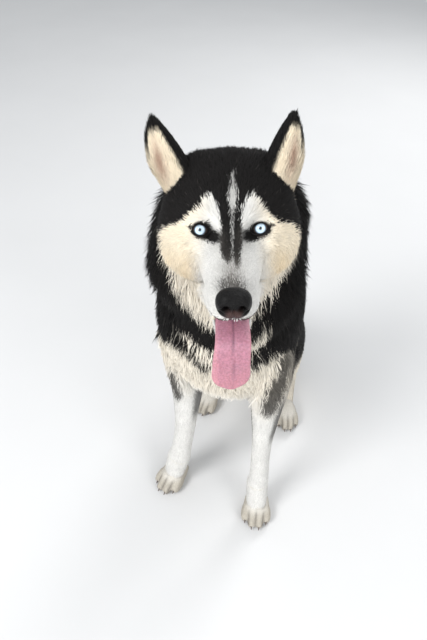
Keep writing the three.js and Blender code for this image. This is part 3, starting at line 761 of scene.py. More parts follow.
def face_colour(points, x, y):
    """The colour of the head's outside."""
    l, f, u = to_head(points).T
    face = smooth(-78, -52, f + 0.25 * np.abs(l))
    under = smooth(-60, -78, u) * smooth(-80, -50, f)
    pale = np.clip(np.maximum(field(FACE_PALE, x, y, 1.0) * face, under), 0, 1)
    warm = smooth(20, 50, np.abs(x - 231) - 0.10 * (y - 240))
    fur = mixed(BLACK, SNOW, pale)
    fur = mixed(fur, CREAM, pale * warm * 0.9)
    honey = np.clip(spots(x, y, HONEY_SPOTS), 0, 1) * pale * smooth(235, 262, y)
    fur = mixed(fur, HONEY, honey * 0.5)
    bands = either((BAND_LEFT, BAND_RIGHT), x, y, 2.0) * smooth(284, 254, y)
    fur = mixed(fur, BLACK, np.clip(bands * 1.15, 0, 1))
    grain = 0.55 + 0.45 * np.sin(x * 7.3 + y * 3.1) * np.sin(y * 6.7 - x * 2.9)
    on_muzzle = smooth(0, 20, f)
    fur = mixed(fur, BLACK * 3, np.clip(spots(x, y, SPECKLES) * grain * 1.3, 0, 0.92) * on_muzzle)
    fur = mixed(fur, GREY * 2.2, spots(x, y, BRIDGE) * on_muzzle * 0.4)
    fur = mixed(fur, GREY * 1.6, np.clip(spots(x, y, BESIDE_BANDS), 0, 1) * 0.25)
    blaze = field(BLAZE, x, y, 1.1) * (0.5 + 0.45 * smooth(222, 204, y)) * smooth(-75, -60, f)
    fur = mixed(fur, SNOW * 0.7, blaze)
    rims = either((CORNER_LEFT, CORNER_RIGHT), x, y, 2.2)
    tears = either((TEAR_LEFT, TEAR_RIGHT), x, y, 0.8)
    rings = np.maximum(*(spots(x, y, ring) for ring in EYE_RINGS))
    dark = np.clip(np.maximum.reduce([rims, tears * 0.8, smooth(0.32, 0.5, rings)]), 0, 1)
    fur = mixed(fur, BLACK, np.clip(dark * 1.1, 0, 1) * smooth(-40, -20, f))
    # painted shade of the crease at the mouth's corner
    fur = mixed(fur, ROSE * 0.3, field(LIP_CORNER_CREASE_SHADE, x, y, 1.6) * 0.3)
    return mixed(fur, GREY * 1.4, spots(x, y, FLECKS))


def mouth_inside(points, normal):
    """1 on the roof and the bed of the open mouth and 0 away from them."""
    l, f, u = to_head(points).T
    above_jaw = up_from_jaw(f, u)
    roof = smooth(-50, -55, u) * smooth(0.2, -0.5, normal @ UP) * smooth(-72, -62, above_jaw)
    bed = smooth(0.2, 0.6, normal @ UP) * (above_jaw > -72) * (above_jaw < -56)
    return (roof + bed) * smooth(-20, 0, f) * (np.abs(l) < 24)


def ear_colour(points, normal, side, colour):
    """The colour of an ear over the dark that it would have, pale and rosy in its cup."""
    across, face_way = ear_facing(side)
    base, axis = ear_line(side)
    share = along_ear(points, side)
    offset = ((points - base) - share[:, None] * axis) @ across
    width = EARS[side][2] * np.clip(1.08 - 0.95 * np.clip(share, 0, 1) ** 1.5, 0.1, 1)
    inward = -offset * SIDES[side] / width
    facing = smooth(-0.15, 0.25, normal @ face_way)
    inner = facing * smooth(0.80, 0.62, inward) * smooth(0.92, 0.80, share)
    inner = inner * (1 - smooth(0.5, 0.75, -inward) * smooth(0.4, 0.6, share))
    lateral = smooth(0.6, 0.8, -inward) * smooth(-0.5, -0.1, normal @ face_way) * smooth(0.75, 0.5, share)
    shade = mixed(colour, CREAM, np.clip(np.maximum(inner, lateral * 0.8), 0, 1))
    core = np.exp(-((inward + 0.05) / 0.28) ** 2 - ((share - 0.42) / 0.3) ** 2)
    return mixed(shade, ROSE, np.clip(core * 0.85 * inner, 0, 1))


def markings(points, normal, region, jitter):
    """The coat's colour at each point; jitter, in pixels, breaks the edges up hair by hair."""
    x, y = pixel(points)
    x, y = x + jitter[:, 0], y + jitter[:, 1]
    head = region == REGION["head"]
    trunk = trunk_colour(points, normal, region, x, y)
    colour = np.where(head[:, None], face_colour(points, x, y), trunk)
    # the throat and neck carry on from the cheeks
    throat = (region == REGION["body"]) & (points[:, 2] > THROAT_LOW)
    under_chin = field(FACE_PALE, x, y, 1.2) * smooth(45, 15, points[:, 1]) * smooth(0.35, -0.1, normal[:, 1])
    # the cream under the chin, painted brighter against its shade
    colour[throat] = mixed(colour, THROAT_WHITE_PAINTED_LIGHT, under_chin)[throat]
    for side in SIDES:
        ear = region == REGION[f"ear_{side}"]
        colour[ear] = ear_colour(points, normal, side, colour)[ear]
    return np.clip(colour, 0, 1), mouth_inside(points, normal) * head


def paint(mesh, colours):
    """Gives each point of a mesh its colour, or all of them one."""
    rows = np.ones((len(mesh.vertices), 4), np.float32)
    rows[:, :3] = colours
    layer = mesh.color_attributes.new("Coat", "FLOAT_COLOR", "POINT")
    layer.data.foreach_set("color", rows.ravel())


# mouth_share marks where the painted shade of the open mouth goes
skin_colour, mouth_share = markings(skin_points, normals, region_of, np.zeros((len(skin_points), 2)))
# the skin is painted darker than the coat's colours, a painted shade under the tufts
paint(skin.data, mixed(skin_colour, MOUTH_SHADE, mouth_share) * COAT_DEPTH_SHADE)

# An unwrap of the skin gives each tuft its place
bpy.context.view_layer.objects.active = skin
skin.select_set(True)
bpy.ops.object.mode_set(mode="EDIT")
bpy.ops.mesh.select_all(action="SELECT")
bpy.ops.uv.smart_project(angle_limit=1.15, island_margin=0.002)
bpy.ops.object.mode_set(mode="OBJECT")
skin.select_set(False)
skin.data.uv_layers[0].name = "OFBake"

skin.data.calc_loop_triangles()
corners = read(skin.data.loop_triangles, "vertices", np.int32)
loops = read(skin.data.loop_triangles, "loops", np.int32)
flat = read(skin.data.uv_layers["OFBake"].data, "uv", np.float32, 2)
areas = np.linalg.norm(
    np.cross(
        skin_points[corners[:, 1]] - skin_points[corners[:, 0]],
        skin_points[corners[:, 2]] - skin_points[corners[:, 0]],
    ),
    axis=1,
) / 2

# The coat at a point: length, width, how far it stands off, and how many to a square centimetre
LENGTH, WIDTH, LIFT, DENSITY = range(4)
KINDS = {
    "neck": (38, 1.2, 0.22, 34),
    "torso": (32, 1.4, 0.22, 23),
    "tail": (46, 1.6, 0.44, 18),
    "leg": (7.5, 1.0, 0.12, 46),
    "thigh": (26, 1.5, 0.30, 18),
    "shank": (9, 1.2, 0.16, 30),
    "fringe": (36, 1.4, 0.5, 24),
    "paw": (4.5, 0.9, 0.16, 44),
    "head": (12, 0.95, 0.22, 75),
    "crown": (17, 0.95, 0.46, 80),
    "crown_corner": (22, 1.0, 0.62, 80),
    "muzzle": (5, 0.75, 0.16, 90),
    "ruff": (34, 1.1, 0.24, 44),
    "ear": (7, 0.9, 0.18, 72),
    "ear_cup": (10, 0.85, 0.28, 64),
}
coat = np.empty((len(skin_points), 4))


def toward(kind, share):
    """Turns the coat at every point towards a kind, by that point's share."""
    coat[:] = coat + (np.array(KINDS[kind]) - coat) * share[:, None]


for name in LINES:
    coat[closest == name] = KINDS[name.split("_")[0]]
x, y, z = skin_points.T
toward("torso", smooth(260, 400, z) * np.isin(closest, ["leg_left", "leg_right"]))
coat[closest == "tail", LENGTH] *= 1 - 0.4 * smooth(-150, -200, x[closest == "tail"])
fringe = smooth(-0.1, -0.5, normals[:, 2]) * smooth(60, 20, y) * smooth(300, 330, z) * smooth(450, 410, z)
toward("fringe", fringe * (closest == "torso") * (region_of == REGION["body"]))
coat[on_paws] = KINDS["paw"]
coat[on_head] = KINDS["head"]
crown = smooth(10, 40, u) * smooth(-20, -50, f)
toward("crown", crown * on_head)
toward("crown_corner", crown * smooth(15, 40, np.abs(l)) * on_head)
toward("muzzle", smooth(-10, 25, f) * on_head)
toward("ruff", smooth(-10, -60, f + 0.3 * (u + 40)) * smooth(15, -20, u) * on_head)
for side in SIDES:
    on_ear = region_of == REGION[f"ear_{side}"]
    coat[on_ear] = KINDS["ear"]
    coat[on_ear & (normals @ ear_facing(side)[1] > 0.2)] = KINDS["ear_cup"]
    coat[on_ear, LENGTH] *= 1 - 0.2 * smooth(0.6, 0.95, along_ear(skin_points, side)[on_ear])
# none on the eyes, in the mouth, under the nose, on the soles or inside the neck
for s in SIDES.values():
    away = np.hypot((l - s * EYE_SPACING / 2), (u + 0.5))
    coat[:, DENSITY] *= np.where(on_head & (f > -30), smooth(8.5, 11.5, away), 1)
    coat[:, LENGTH] *= np.where(on_head & (f > -30), 0.35 + 0.65 * smooth(10, 24, away), 1)
nose_gap = np.sqrt((l / 17) ** 2 + ((f - 100) / 13) ** 2 + ((u + 36.5) / 16) ** 2)
bare = smooth(0.95, 1.1, nose_gap) * (1 - np.clip(mouth_share * 1.4, 0, 1))
coat[:, DENSITY] *= np.where(on_head, bare, 1)
SOLE_HIGH = 1.5
SKULL_BACK = -112  # behind it the skull stands inside the neck
coat[(skin_points[:, 2] < SOLE_HIGH) | (on_head & (f < SKULL_BACK)), DENSITY] = 0

SQUARE_CENTIMETRE = 100
SEGMENTS = (0.0, 0.38, 0.72)  # where along a tuft its pairs of points stand
TAPER = (0.8, 1.0, 0.62)
SINK = 0.6  # how deep a tuft's root stands in the skin
SAG = 0.32  # how much a tuft bends back to the skin
SWING = 0.16  # how far tufts stray to the side, in radians
BEND = 0.13  # how far they curve to the side, for their length
FROSTED = np.array([0.06, 0.055, 0.05])
FROSTED_SHARE = 0.01
MOST_TUFTS = 38000  # in one piece, at five triangles each
PATCH = 0.0015
# A tuft's points round its place in the unwrap: three pairs and the tip
PLACES = np.array([(-1, -1), (1, -1), (-1, 0), (1, 0), (-1, 0.7), (1, 0.7), (0, 1)], float) * PATCH
COLOUR_AT = 0.8  # how far along a tuft its colour is read, so that tips keep to the outlines


def tuft_piece(name, points, shades, uv):
    """One mesh of tufts, each two quads and a tip over seven points."""
    m, each = len(points), len(PLACES)
    base = (np.arange(m) * each)[:, None]
    quads = np.concatenate([base + [0, 1, 3, 2], base + [2, 3, 5, 4]], 1).reshape(-1, 4)
    ends = (base + [4, 5, 6]).reshape(-1, 3)
    index = np.concatenate([quads.ravel(), ends.ravel()])
    mesh = bpy.data.meshes.new(name)
    mesh.vertices.add(m * each)
    mesh.vertices.foreach_set("co", ((points.reshape(-1, 3) + SHIFT) * MM).ravel())
    mesh.loops.add(len(index))
    mesh.loops.foreach_set("vertex_index", index.astype(np.int32))
    mesh.polygons.add(3 * m)
    starts = np.concatenate([np.arange(2 * m) * 4, 8 * m + np.arange(m) * 3])
    mesh.polygons.foreach_set("loop_start", starts.astype(np.int32))
    mesh.update(calc_edges=True)
    spread = (uv[:, None] + PLACES[None]).reshape(-1, 2)
    layer = mesh.uv_layers.new(name="OFBake")
    layer.data.foreach_set("uv", spread[index].astype(np.float32).ravel())
    paint(mesh, shades.reshape(-1, 3))
    mesh.shade_smooth()
    piece = bpy.data.objects.new(name, mesh)
    bpy.context.scene.collection.objects.link(piece)
    return piece


def tufts(name, chosen):
    """The coat over the chosen skin triangles: flat, tapered tufts that bend back to the lie."""
    expected = areas * coat[corners].mean(1)[:, DENSITY] / SQUARE_CENTIMETRE * chosen
    count = np.floor(expected + rng.random(len(expected))).astype(int)
    tri = np.repeat(np.arange(len(count)), count)
    n = len(tri)
    a, b = rng.random(n), rng.random(n)
    over = a + b > 1
    a[over], b[over] = 1 - a[over], 1 - b[over]
    blend = np.stack([1 - a - b, a, b], 1)[:, :, None]
    c = corners[tri]
    root = (skin_points[c] * blend).sum(1)
    normal = unit((normals[c] * blend).sum(1))
    way = unit((lie[c] * blend).sum(1))
    kind = (coat[c] * blend).sum(1)
    region = region_of[c[:, 0]]
    uv = (flat[loops[tri]] * blend).sum(1)
    swing = rng.normal(0, SWING, n)
    side = np.cross(normal, way)
    way = unit(way + side * swing[:, None])
    side = unit(np.cross(normal, way))
    twist = rng.normal(0, 1, n)[:, None] * (0.15 + 0.35 * smooth(6, 30, kind[:, LENGTH]))[:, None]
    flatways = unit(side * np.cos(twist) + normal * np.sin(twist))
    length = kind[:, LENGTH] * rng.uniform(0.72, 1.18, n)
    width = kind[:, WIDTH] * rng.uniform(0.7, 1.25, n)
    lift = kind[:, LIFT] * rng.uniform(0.7, 1.2, n)
    bend = rng.normal(0, BEND, n) * length
    # towards the floor the tufts lie flatter
    lift *= smooth(-2, 14, root[:, 2])
    rings = []
    for s, taper in zip(SEGMENTS, TAPER):
        rise = (s - SAG * s * s) * np.sin(lift) * length - SINK * (s == 0)
        mid = root + way * (s * np.cos(lift) * length)[:, None] + normal * rise[:, None]
        mid += side * (bend * s * s)[:, None]
        half = flatways * (width * taper / 2)[:, None]
        rings += [mid - half, mid + half]
    rise = (1 - SAG) * np.sin(lift) * length
    tip = root + way * (np.cos(lift) * length)[:, None] + normal * rise[:, None] + side * bend[:, None]
    points = np.stack([*rings, tip], 1)
    points[:, :, 2] = np.maximum(points[:, :, 2], CLEAR["tuft"])
    jitter = rng.normal(0, 1, (n, 2)) * (0.8 + 0.035 * kind[:, LENGTH])[:, None]
    colour, _ = markings(root + (tip - root) * COLOUR_AT, normal, region, jitter)
    colour = colour * rng.uniform(0.9, 1.08, n)[:, None]
    dark = colour.mean(1) < 0.08
    frosted = dark & (rng.random(n) < FROSTED_SHARE)
    tips = colour * 1.08
    tips[dark] = colour[dark] * 1.6 + 0.004
    tips[frosted] = FROSTED
    # Painted shade: each tuft is darker at its root, deep in the coat
    shaded_roots, ends = colour * 0.9, (colour + tips) / 2
    shades = np.stack([shaded_roots, shaded_roots, colour, colour, ends, ends, tips], 1)
    pieces = []
    for number, start in enumerate(range(0, n, MOST_TUFTS)):
        part = slice(start, start + MOST_TUFTS)
        pieces.append(tuft_piece(f"{name}_{number}", points[part], shades[part], uv[part]))
    return pieces


on_triangle = region_of[corners[:, 0]]
on_body = on_triangle == REGION["body"]
on_neck = closest[corners[:, 0]] == "neck"
coats = [
    *tufts("coat_head", on_triangle == REGION["head"]),
    *tufts("coat_ears", on_triangle >= REGION["ear_right"]),
    *tufts("coat_paws", on_triangle == REGION["paws"]),
    *tufts("coat_neck", on_body & on_neck),
    *tufts("coat_body", on_body & ~on_neck),
]


# Materials
def material(name):
    made = bpy.data.materials.new(name)
    made.use_nodes = True
    tree = made.node_tree
    return made, tree, tree.nodes["Principled BSDF"]


def set_inputs(target, **values):
    for key, value in values.items():
        target.inputs[key.replace("_", " ")].default_value = value


def node(tree, kind, **values):
    made = tree.nodes.new(kind)
    set_inputs(made, **values)
    return made


def bump(tree, shader, height, strength, distance):
    made = node(tree, "ShaderNodeBump", Strength=strength, Distance=distance)
    tree.links.new(height, made.inputs["Height"])
    tree.links.new(made.outputs["Normal"], shader.inputs["Normal"])


def object_texture(tree, kind, **values):
    """A texture laid over the piece's own coordinates."""
    place = tree.nodes.new("ShaderNodeTexCoord")
    texture = node(tree, kind, **values)
    tree.links.new(place.outputs["Object"], texture.inputs["Vector"])
    return texture


def object_noise(tree, scale, detail=4.0):
    return object_texture(tree, "ShaderNodeTexNoise", Scale=scale, Detail=detail)


def spread_between(tree, factor, low, high):
    spread = node(tree, "ShaderNodeMapRange", To_Min=low, To_Max=high)
    tree.links.new(factor, spread.inputs["Value"])
    return spread.outputs["Result"]


def painted(name, rough, scale, low, high, **finish):
    """A finish over the colours painted on a piece, their brightness wandering between low and high."""
    made, tree, shader = material(name)
    set_inputs(shader, Roughness=rough, **finish)
    colour = node(tree, "ShaderNodeAttribute")
    colour.attribute_name = "Coat"
    noise = object_noise(tree, scale).outputs["Fac"]
    mixing = tree.nodes.new("ShaderNodeVectorMath")
    mixing.operation = "SCALE"
    tree.links.new(colour.outputs["Color"], mixing.inputs[0])
    tree.links.new(spread_between(tree, noise, low, high), mixing.inputs["Scale"])
    tree.links.new(mixing.outputs["Vector"], shader.inputs["Base Color"])
    return made, tree, shader, noise


COAT_GRAIN = 900  # scale of the fine relief on skin and coat
COAT_DEEP = 0.001
RELIEF_DEEP = 0.0006


def coat_material(name, rough, low, high, scale, height):
    finish = {"Specular_IOR_Level": 0.09, "Sheen_Weight": 0.02, "Sheen_Roughness": 0.5}
    made, tree, shader, _ = painted(name, rough, scale, low, high, **finish)
    bump(tree, shader, object_noise(tree, COAT_GRAIN, 2.0).outputs["Fac"], height, COAT_DEEP)
    return made


def painted_material(name, rough, scale, low, high, height, grain=None, **finish):
    """A painted finish with fine relief, in cells of a size where it has a grain."""
    made, tree, shader, relief = painted(name, rough, scale, low, high, **finish)
    if grain:
        relief = object_texture(tree, "ShaderNodeTexVoronoi", Scale=grain).outputs["Distance"]
    bump(tree, shader, relief, height, RELIEF_DEEP)
    return made


hair = coat_material("hair", 0.7, 0.9, 1.1, 45, 0.15)
hide = coat_material("hide", 0.75, 0.9, 1.06, 160, 0.6)
skin.data.materials.append(hide)
for piece in coats:
    piece.data.materials.append(hair)
nose_finish = painted_material(
    "nose_leather", 0.36, 300, 0.8, 1.25, 0.9, 1100,
    Specular_IOR_Level=0.12, Coat_Weight=0.04, Coat_Roughness=0.3)
tongue_finish = painted_material(
    "tongue_flesh", 0.42, 420, 0.45, 1.55, 0.7, 900,
    Coat_Weight=0.15, Coat_Roughness=0.3, Subsurface_Weight=0.12, Subsurface_Scale=0.004)
eye_finish = painted_material("wet_eye", 0.06, 500, 0.96, 1.04, 0.0, Coat_Weight=1.0, Coat_Roughness=0.02)
lid_finish = painted_material("lid_skin", 0.5, 600, 0.8, 1.2, 0.3, 1200, Specular_IOR_Level=0.12)
claw_finish = painted_material("claw_horn", 0.38, 300, 0.7, 1.3, 0.3)


# Eyes
POLE_CLOSE = 1.25  # above 1 the rows draw together at the pole


def ball(centre, axis, radius, rows, around):
    """A sphere whose pole looks along axis: points, faces, and their angles from and round the pole."""
    axis = unit(axis)
    across = unit(np.cross(axis, (0, 0, 1)))
    upward = np.cross(across, axis)
    points, faces, angles, turns = [centre + axis * radius], [], [0.0], [0.0]
    for i in range(1, rows):
        polar = math.pi * (i / rows) ** POLE_CLOSE
        for k in range(around):
            turn = 2 * math.pi * k / around
            out = across * math.cos(turn) + upward * math.sin(turn)
            points.append(centre + (axis * math.cos(polar) + out * math.sin(polar)) * radius)
            angles.append(polar)
            turns.append(turn)
    points.append(centre - axis * radius)
    angles.append(math.pi)
    turns.append(0.0)
    for k in range(around):
        m = (k + 1) % around
        faces.append((0, 1 + k, 1 + m))
        for i in range(rows - 2):
            a, b = 1 + i * around + k, 1 + i * around + m
            faces.append((a, a + around, b + around, b))
        last = 1 + (rows - 2) * around
        faces.append((last + k, len(points) - 1, last + m))
    return np.array(points), faces, np.array(angles), np.array(turns)


IRIS = 5.5
PUPIL = 1.6
GAZE_OUT = 2  # degrees that each eye looks out from the camera
CORNEA_RISE = 0.9
ICE_BLUE = np.array([0.60, 0.73, 0.84])
IRIS_INNER = np.array([0.30, 0.44, 0.58])
IRIS_EDGE = np.array([0.10, 0.15, 0.20])
EYE_OUTER = np.array([0.05, 0.035, 0.03])  # the dark round the iris
PUPIL_BLACK = np.array([0.004, 0.004, 0.006])
LID_BLACK = (0.005, 0.004, 0.004)
RIM_HALF = (8.2, 5.0)  # half the line that the rim follows, across and up
RIM_RISE = 3.4  # its middle above the eye's
RIM_OVER = 0.5  # how far it stands off the ball
RIM_TILT = math.radians(16)
RIM_THICK = {"upper": 1.9, "lower": 1.6}
RIM_SIDES, RIM_STEPS = 10, 72


def eye_rim(centre, s):
    """The lids' black rim: a rounded edge that follows the opening over the ball."""
    points, faces = [], []
    tilt = RIM_TILT * s
    for i in range(RIM_STEPS):
        turn = 2 * math.pi * i / RIM_STEPS
        a = RIM_HALF[0] * math.cos(turn) - s * 1.2 * smooth(0.6, 1.0, -s * math.cos(turn))
        b = RIM_HALF[1] * math.sin(turn)
        along = a * math.cos(tilt) - b * math.sin(tilt)
        high = a * math.sin(tilt) + b * math.cos(tilt) + RIM_RISE
        depth = math.sqrt(max((EYEBALL + RIM_OVER) ** 2 - along**2 - high**2, 4.0))
        at = centre + LEFT * along + UP * high + FORWARD * depth
        outward = unit(at - centre)
        across = unit(LEFT * math.cos(turn) + UP * math.sin(turn))
        thick = RIM_THICK["upper" if math.sin(turn) > 0 else "lower"]
        for k in range(RIM_SIDES):
            angle = 2 * math.pi * k / RIM_SIDES
            rounded = outward * thick * 0.85 * math.sin(angle)
            points.append(at + rounded + across * thick * (1 + math.cos(angle)) * 0.9)
            a_point, b_point = i * RIM_SIDES + k, i * RIM_SIDES + (k + 1) % RIM_SIDES
            c_point, d_point = ((j + RIM_SIDES) % (RIM_STEPS * RIM_SIDES) for j in (a_point, b_point))
            faces.append((a_point, b_point, d_point, c_point))
    return points, faces


for side, s in SIDES.items():
    centre = in_head(s * EYE_SPACING / 2, *EYE_CENTRE)
    gaze = unit(CAMERA_AT - centre) + LEFT * s * math.radians(GAZE_OUT)
    points, faces, angles, turns = ball(centre, gaze, EYEBALL, 56, 72)
    reach = np.sin(np.minimum(angles, math.pi / 2)) * EYEBALL
    bulge = CORNEA_RISE * smooth(IRIS + 0.8, 0, reach) * (angles < 1)
    points = points + unit(points - centre) * bulge[:, None]
    fibres = 0.5 + 0.5 * np.sin(turns * 37 + 3 * np.sin(turns * 11)) * smooth(PUPIL, IRIS, reach)
    pale = ICE_BLUE * (0.86 + 0.2 * fibres)[:, None]
    inner_ring = smooth(PUPIL + 1.6, PUPIL + 0.3, reach)
    colours = mixed(pale, IRIS_INNER, inner_ring * 0.6)
    colours = mixed(colours, IRIS_EDGE, smooth(IRIS - 0.9, IRIS - 0.1, reach))
    colours = mixed(colours, EYE_OUTER, smooth(IRIS + 0.1, IRIS + 0.8, reach))
    colours = mixed(colours, PUPIL_BLACK, smooth(PUPIL + 0.25, PUPIL - 0.15, reach))
    eyeball = obj_from(f"eyeball_{side}", points, faces, eye_finish)
    paint(eyeball.data, colours)
    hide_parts(f"eye_{side}")
    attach(eyeball, "root")
    lid = obj_from(f"eye_rim_{side}", *eye_rim(centre, s), lid_finish)
    paint(lid.data, LID_BLACK)
    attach(lid, "root")

# Nose
NOSE_AT = (99, -36.5)
NOSE_HALF = (17.2, 13, 16)  # across, ahead and up
NOSTRIL = (7.6, -0.5)  # across and up, of its hole
NOSE_BLACK = np.array([0.003, 0.0027, 0.0027])
NOSE_PINK = np.array([0.065, 0.034, 0.03])
NOSTRIL_DARK = np.array([0.004, 0.003, 0.003])
points, faces, _, _ = ball(np.zeros(3), np.array([0.0, -1.0, 0.0]), 1.0, 90, 120)
l, f, u = points[:, 0], -points[:, 1], points[:, 2]
l = np.sign(l) * np.abs(l) ** 0.82 * NOSE_HALF[0] * (1 + 0.10 * u)
u = np.sign(u) * np.abs(u) ** 0.86 * NOSE_HALF[2]
f = f * NOSE_HALF[1] + 1.5
f = f - 0.045 * np.maximum(-u, 0) ** 1.6


def nostrils(wide, tall):
    """How far into either nostril each point of the nose lies, for a hole of some reach."""
    high = (u - NOSTRIL[1]) ** 2 / tall
    return [np.exp(-((l - s * NOSTRIL[0]) ** 2 / wide + high)) for s in SIDES.values()]


for s, hole in zip(SIDES.values(), nostrils(11, 9)):
    slit = np.exp(-((l - s * 12.5) ** 2 / 12 + (u + 5.2 - 0.25 * s * (l - s * 12.5)) ** 2 / 4))
    f = np.where(f > 0, f - 9 * hole - 4 * slit, f)
    wing = np.exp(-((l - s * 12) ** 2 / 14 + (u - 2.5) ** 2 / 12))
    f = np.where(f > 0, f + 1.6 * wing, f)
groove = np.exp(-(l**2) / 1.6) * smooth(4, -2, u)
f = np.where(f > 0, f - 2.2 * groove, f)
nose_points = in_head(0, *NOSE_AT) + np.stack([l, f, u], 1) @ HEAD_AXES
nose = obj_from("nose_tip", nose_points, faces, nose_finish)
holes = np.clip(sum(nostrils(12, 10)), 0, 1)
pinkish = smooth(1, -4, u) * smooth(-13, -8, u) * smooth(10, 5, np.abs(l)) * (1 - holes)
shade = mixed(NOSE_BLACK, NOSE_PINK, np.clip(pinkish, 0, 1) * 0.8)
shade = mixed(shade, NOSTRIL_DARK, holes * 0.9)
paint(nose.data, shade)
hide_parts("nose")
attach(nose, "root")

# Tongue
lip = in_jaw(0, 82, -59)
HANG = unit([0.02, -0.1, -1])
TONGUE_FACE = unit(np.array([0.0, -1.0, 0.25]))
TONGUE_PINK = np.array([0.46, 0.19, 0.235])
# Painted shade on the tongue towards the mouth, under the upper lip
TONGUE_ROOT_SHADE = np.array([0.34, 0.15, 0.21])
# Painted shade along the tongue's middle groove
TONGUE_FURROW_SHADE = np.array([0.20, 0.08, 0.12])
TONGUE_EDGE = np.array([0.54, 0.24, 0.28])
GROOVE_DEEP = 1.5


def tongue_ring(at, along, half, thick):
    return at, LEFT, unit(np.cross(LEFT, along)), half, thick / 2, thick / 2, SQUARE["tongue"]


def below(distance):
    return lip + (2, -9, -10) + HANG * distance


tongue = Tube(
    [
        tongue_ring(in_jaw(0, 10, -60), FORWARD, 16, 9),
        tongue_ring(in_jaw(0, 50, -58), FORWARD, 18, 8),
        tongue_ring(lip, unit(FORWARD - (0, 0, 1)), 19, 7.5),
        tongue_ring(below(6), HANG, 20, 7),
        tongue_ring(below(18), HANG, 20.5, 7),
        tongue_ring(below(29), HANG, 21, 6.5),
        tongue_ring(below(38), HANG, 18.5, 6),
        tongue_ring(below(44.5), HANG, 13, 5),
        tongue_ring(below(48.5), HANG, 5.5, 4),
    ],
    (1, 2),
)
points, faces = tongue.mesh(110, 72)
across = (points - lip) @ LEFT
down = -(points - lip) @ np.array([0, 0, 1.0])
groove = np.exp(-(across**2) / 4.0) * smooth(64, 34, down)
points = points - TONGUE_FACE * (GROOVE_DEEP * groove)[:, None]
points = points + TONGUE_FACE * (np.cos(across / 3.0) * smooth(-5, 10, down) * 0.35)[:, None]
# painted shade, darker up towards and into the mouth
flesh = mixed(TONGUE_PINK, TONGUE_ROOT_SHADE, smooth(70, -10, down) * 0.75)
# painted shade down the middle groove
flesh = mixed(flesh, TONGUE_FURROW_SHADE, np.exp(-(across**2)) * smooth(62, 15, down) * 0.95)
flesh = mixed(flesh, TONGUE_EDGE, smooth(14, 20, np.abs(across)) * 0.6)
tongue_piece = obj_from("tongue_flesh", points, faces, tongue_finish)
paint(tongue_piece.data, flesh)
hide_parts("tongue")
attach(tongue_piece, "root")

# Claws
CLAW_DARK = (0.13, 0.105, 0.09)
for pair, side in PAWS:
    points, faces = merged([tube.mesh(14, 14) for tube in claw_tubes(pair, side)])
    points[:, 2] = np.maximum(points[:, 2], CLEAR["claw"])
    claws = obj_from(f"{pair}_claws_{side}", points, faces, claw_finish)
    paint(claws.data, CLAW_DARK)
    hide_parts(*[f"{pair}_claw_{side}_{i + 1}" for i in range(len(TOES))])
    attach(claws, "root")

# Teeth: left, forward, height and half width of each on one side, from the front to the back
UPPER_TEETH = (
    (2.2, 88, 5, 1.7), (6, 87, 5, 1.8), (9.6, 84, 6, 2.0), (13.5, 76, 14, 2.9),
    (16, 60, 6, 3.2), (18, 48, 7, 3.6), (20, 35, 9, 4.2), (22, 22, 8, 4.2),
)
LOWER_TEETH = ((20, 42, 7, 3.2), (21.5, 31, 8, 3.6), (23, 19, 8, 4.0))
GUMS = {"upper": -52, "lower": -65}  # how high the teeth's roots stand, the lower ones in the jaw's frame
# Up a tooth: how far, and its share of the half width there
TOOTH = ((0, 1), (0.35, 0.9), (0.7, 0.55), (1, 0.15))
IVORY = (0.66, 0.62, 0.51)


def tooth(root, axis, height, half):
    stops = [(*(root + axis * height * part), half * wide, half * wide * 0.8) for part, wide in TOOTH]
    return Tube(limb(stops, FORWARD), (0.3, 0.3)).mesh(12, 12)


meshes = []
for s in SIDES.values():
    for across, ahead, tall, half in UPPER_TEETH:
        meshes.append(tooth(in_head(s * across, ahead, GUMS["upper"]), -UP, tall, half))
    for across, ahead, tall, half in LOWER_TEETH:
        meshes.append(tooth(in_jaw(s * across, ahead, GUMS["lower"]), JAW_UP, tall, half))
tooth_finish = painted_material("tooth_ivory", 0.28, 300, 0.95, 1.03, 0.1)
points, faces = merged(meshes)
teeth = obj_from("teeth", points, faces, tooth_finish)
paint(teeth.data, IVORY)
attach(teeth, "root")

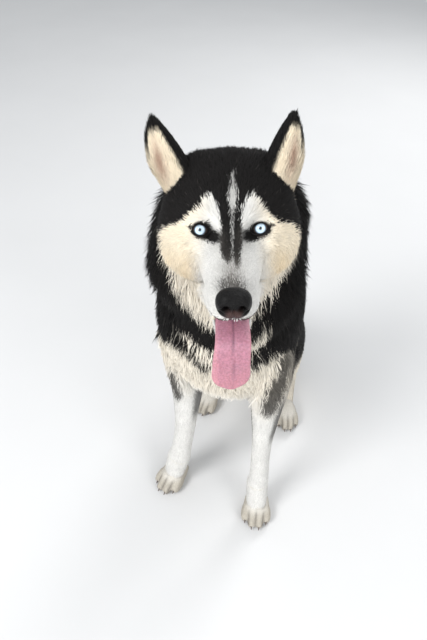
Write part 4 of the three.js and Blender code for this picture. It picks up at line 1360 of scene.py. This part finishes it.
# The skin and coat stand for every node of flesh
FLESH = ["head", "lower_jaw", "neck", "torso", "tail_base", "tail_middle", "tail_tip"]
LIMBS = ["ear", "front_leg", "front_paw", "thigh", "hind_leg", "hind_paw"]
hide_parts(*FLESH, *[f"{name}_{side}" for side in SIDES for name in LIMBS])
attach(skin, "root")
for piece in coats:
    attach(piece, "root")

# Floor, light and camera
bpy.ops.mesh.primitive_plane_add(size=14, location=(0, 0, 0))
floor = bpy.context.object
floor.name = "studio_floor"
paper, tree, shader = material("studio_paper")
set_inputs(shader, Roughness=0.85)
tone = spread_between(tree, object_noise(tree, 3).outputs["Fac"], 0.60, 0.64)
tree.links.new(tone, shader.inputs["Base Color"])
floor.data.materials.append(paper)

world = bpy.data.worlds.new("studio")
bpy.context.scene.world = world
world.use_nodes = True
set_inputs(world.node_tree.nodes["Background"], Color=(0.94, 0.97, 1.0, 1), Strength=0.72)


def softbox(name, at, size, power, target=(0, -0.2, 0.45)):
    data = bpy.data.lights.new(name, "AREA")
    data.shape, data.size, data.energy = "DISK", size, power
    lamp = bpy.data.objects.new(name, data)
    bpy.context.scene.collection.objects.link(lamp)
    lamp.location = at
    lamp.rotation_euler = (Vector(target) - Vector(at)).to_track_quat("-Z", "Y").to_euler()


softbox("key", (-1.0, -2.0, 2.4), 1.2, 66)
softbox("fill", (2.0, -1.4, 1.6), 1.6, 26)
softbox("rim", (0.6, 2.2, 1.9), 1.2, 34)
softbox("low", (0.4, -2.6, 0.9), 1.6, 10)

camera_data = bpy.data.cameras.new("camera")
camera_data.lens, camera_data.sensor_width = LENS, SENSOR
camera_data.clip_start = 0.05
camera = bpy.data.objects.new("camera", camera_data)
bpy.context.scene.collection.objects.link(camera)
aim = Vector(CAMERA_AIM)
right = Vector(CAMERA_RIGHT)
upward = right.cross(aim)
camera.matrix_world = Matrix.Translation(Vector((CAMERA_AT + SHIFT) * MM)) @ Matrix(
    (right, upward, -aim)).transposed().to_4x4()
bpy.context.scene.camera = camera
bpy.context.scene.view_settings.view_transform = "Standard"
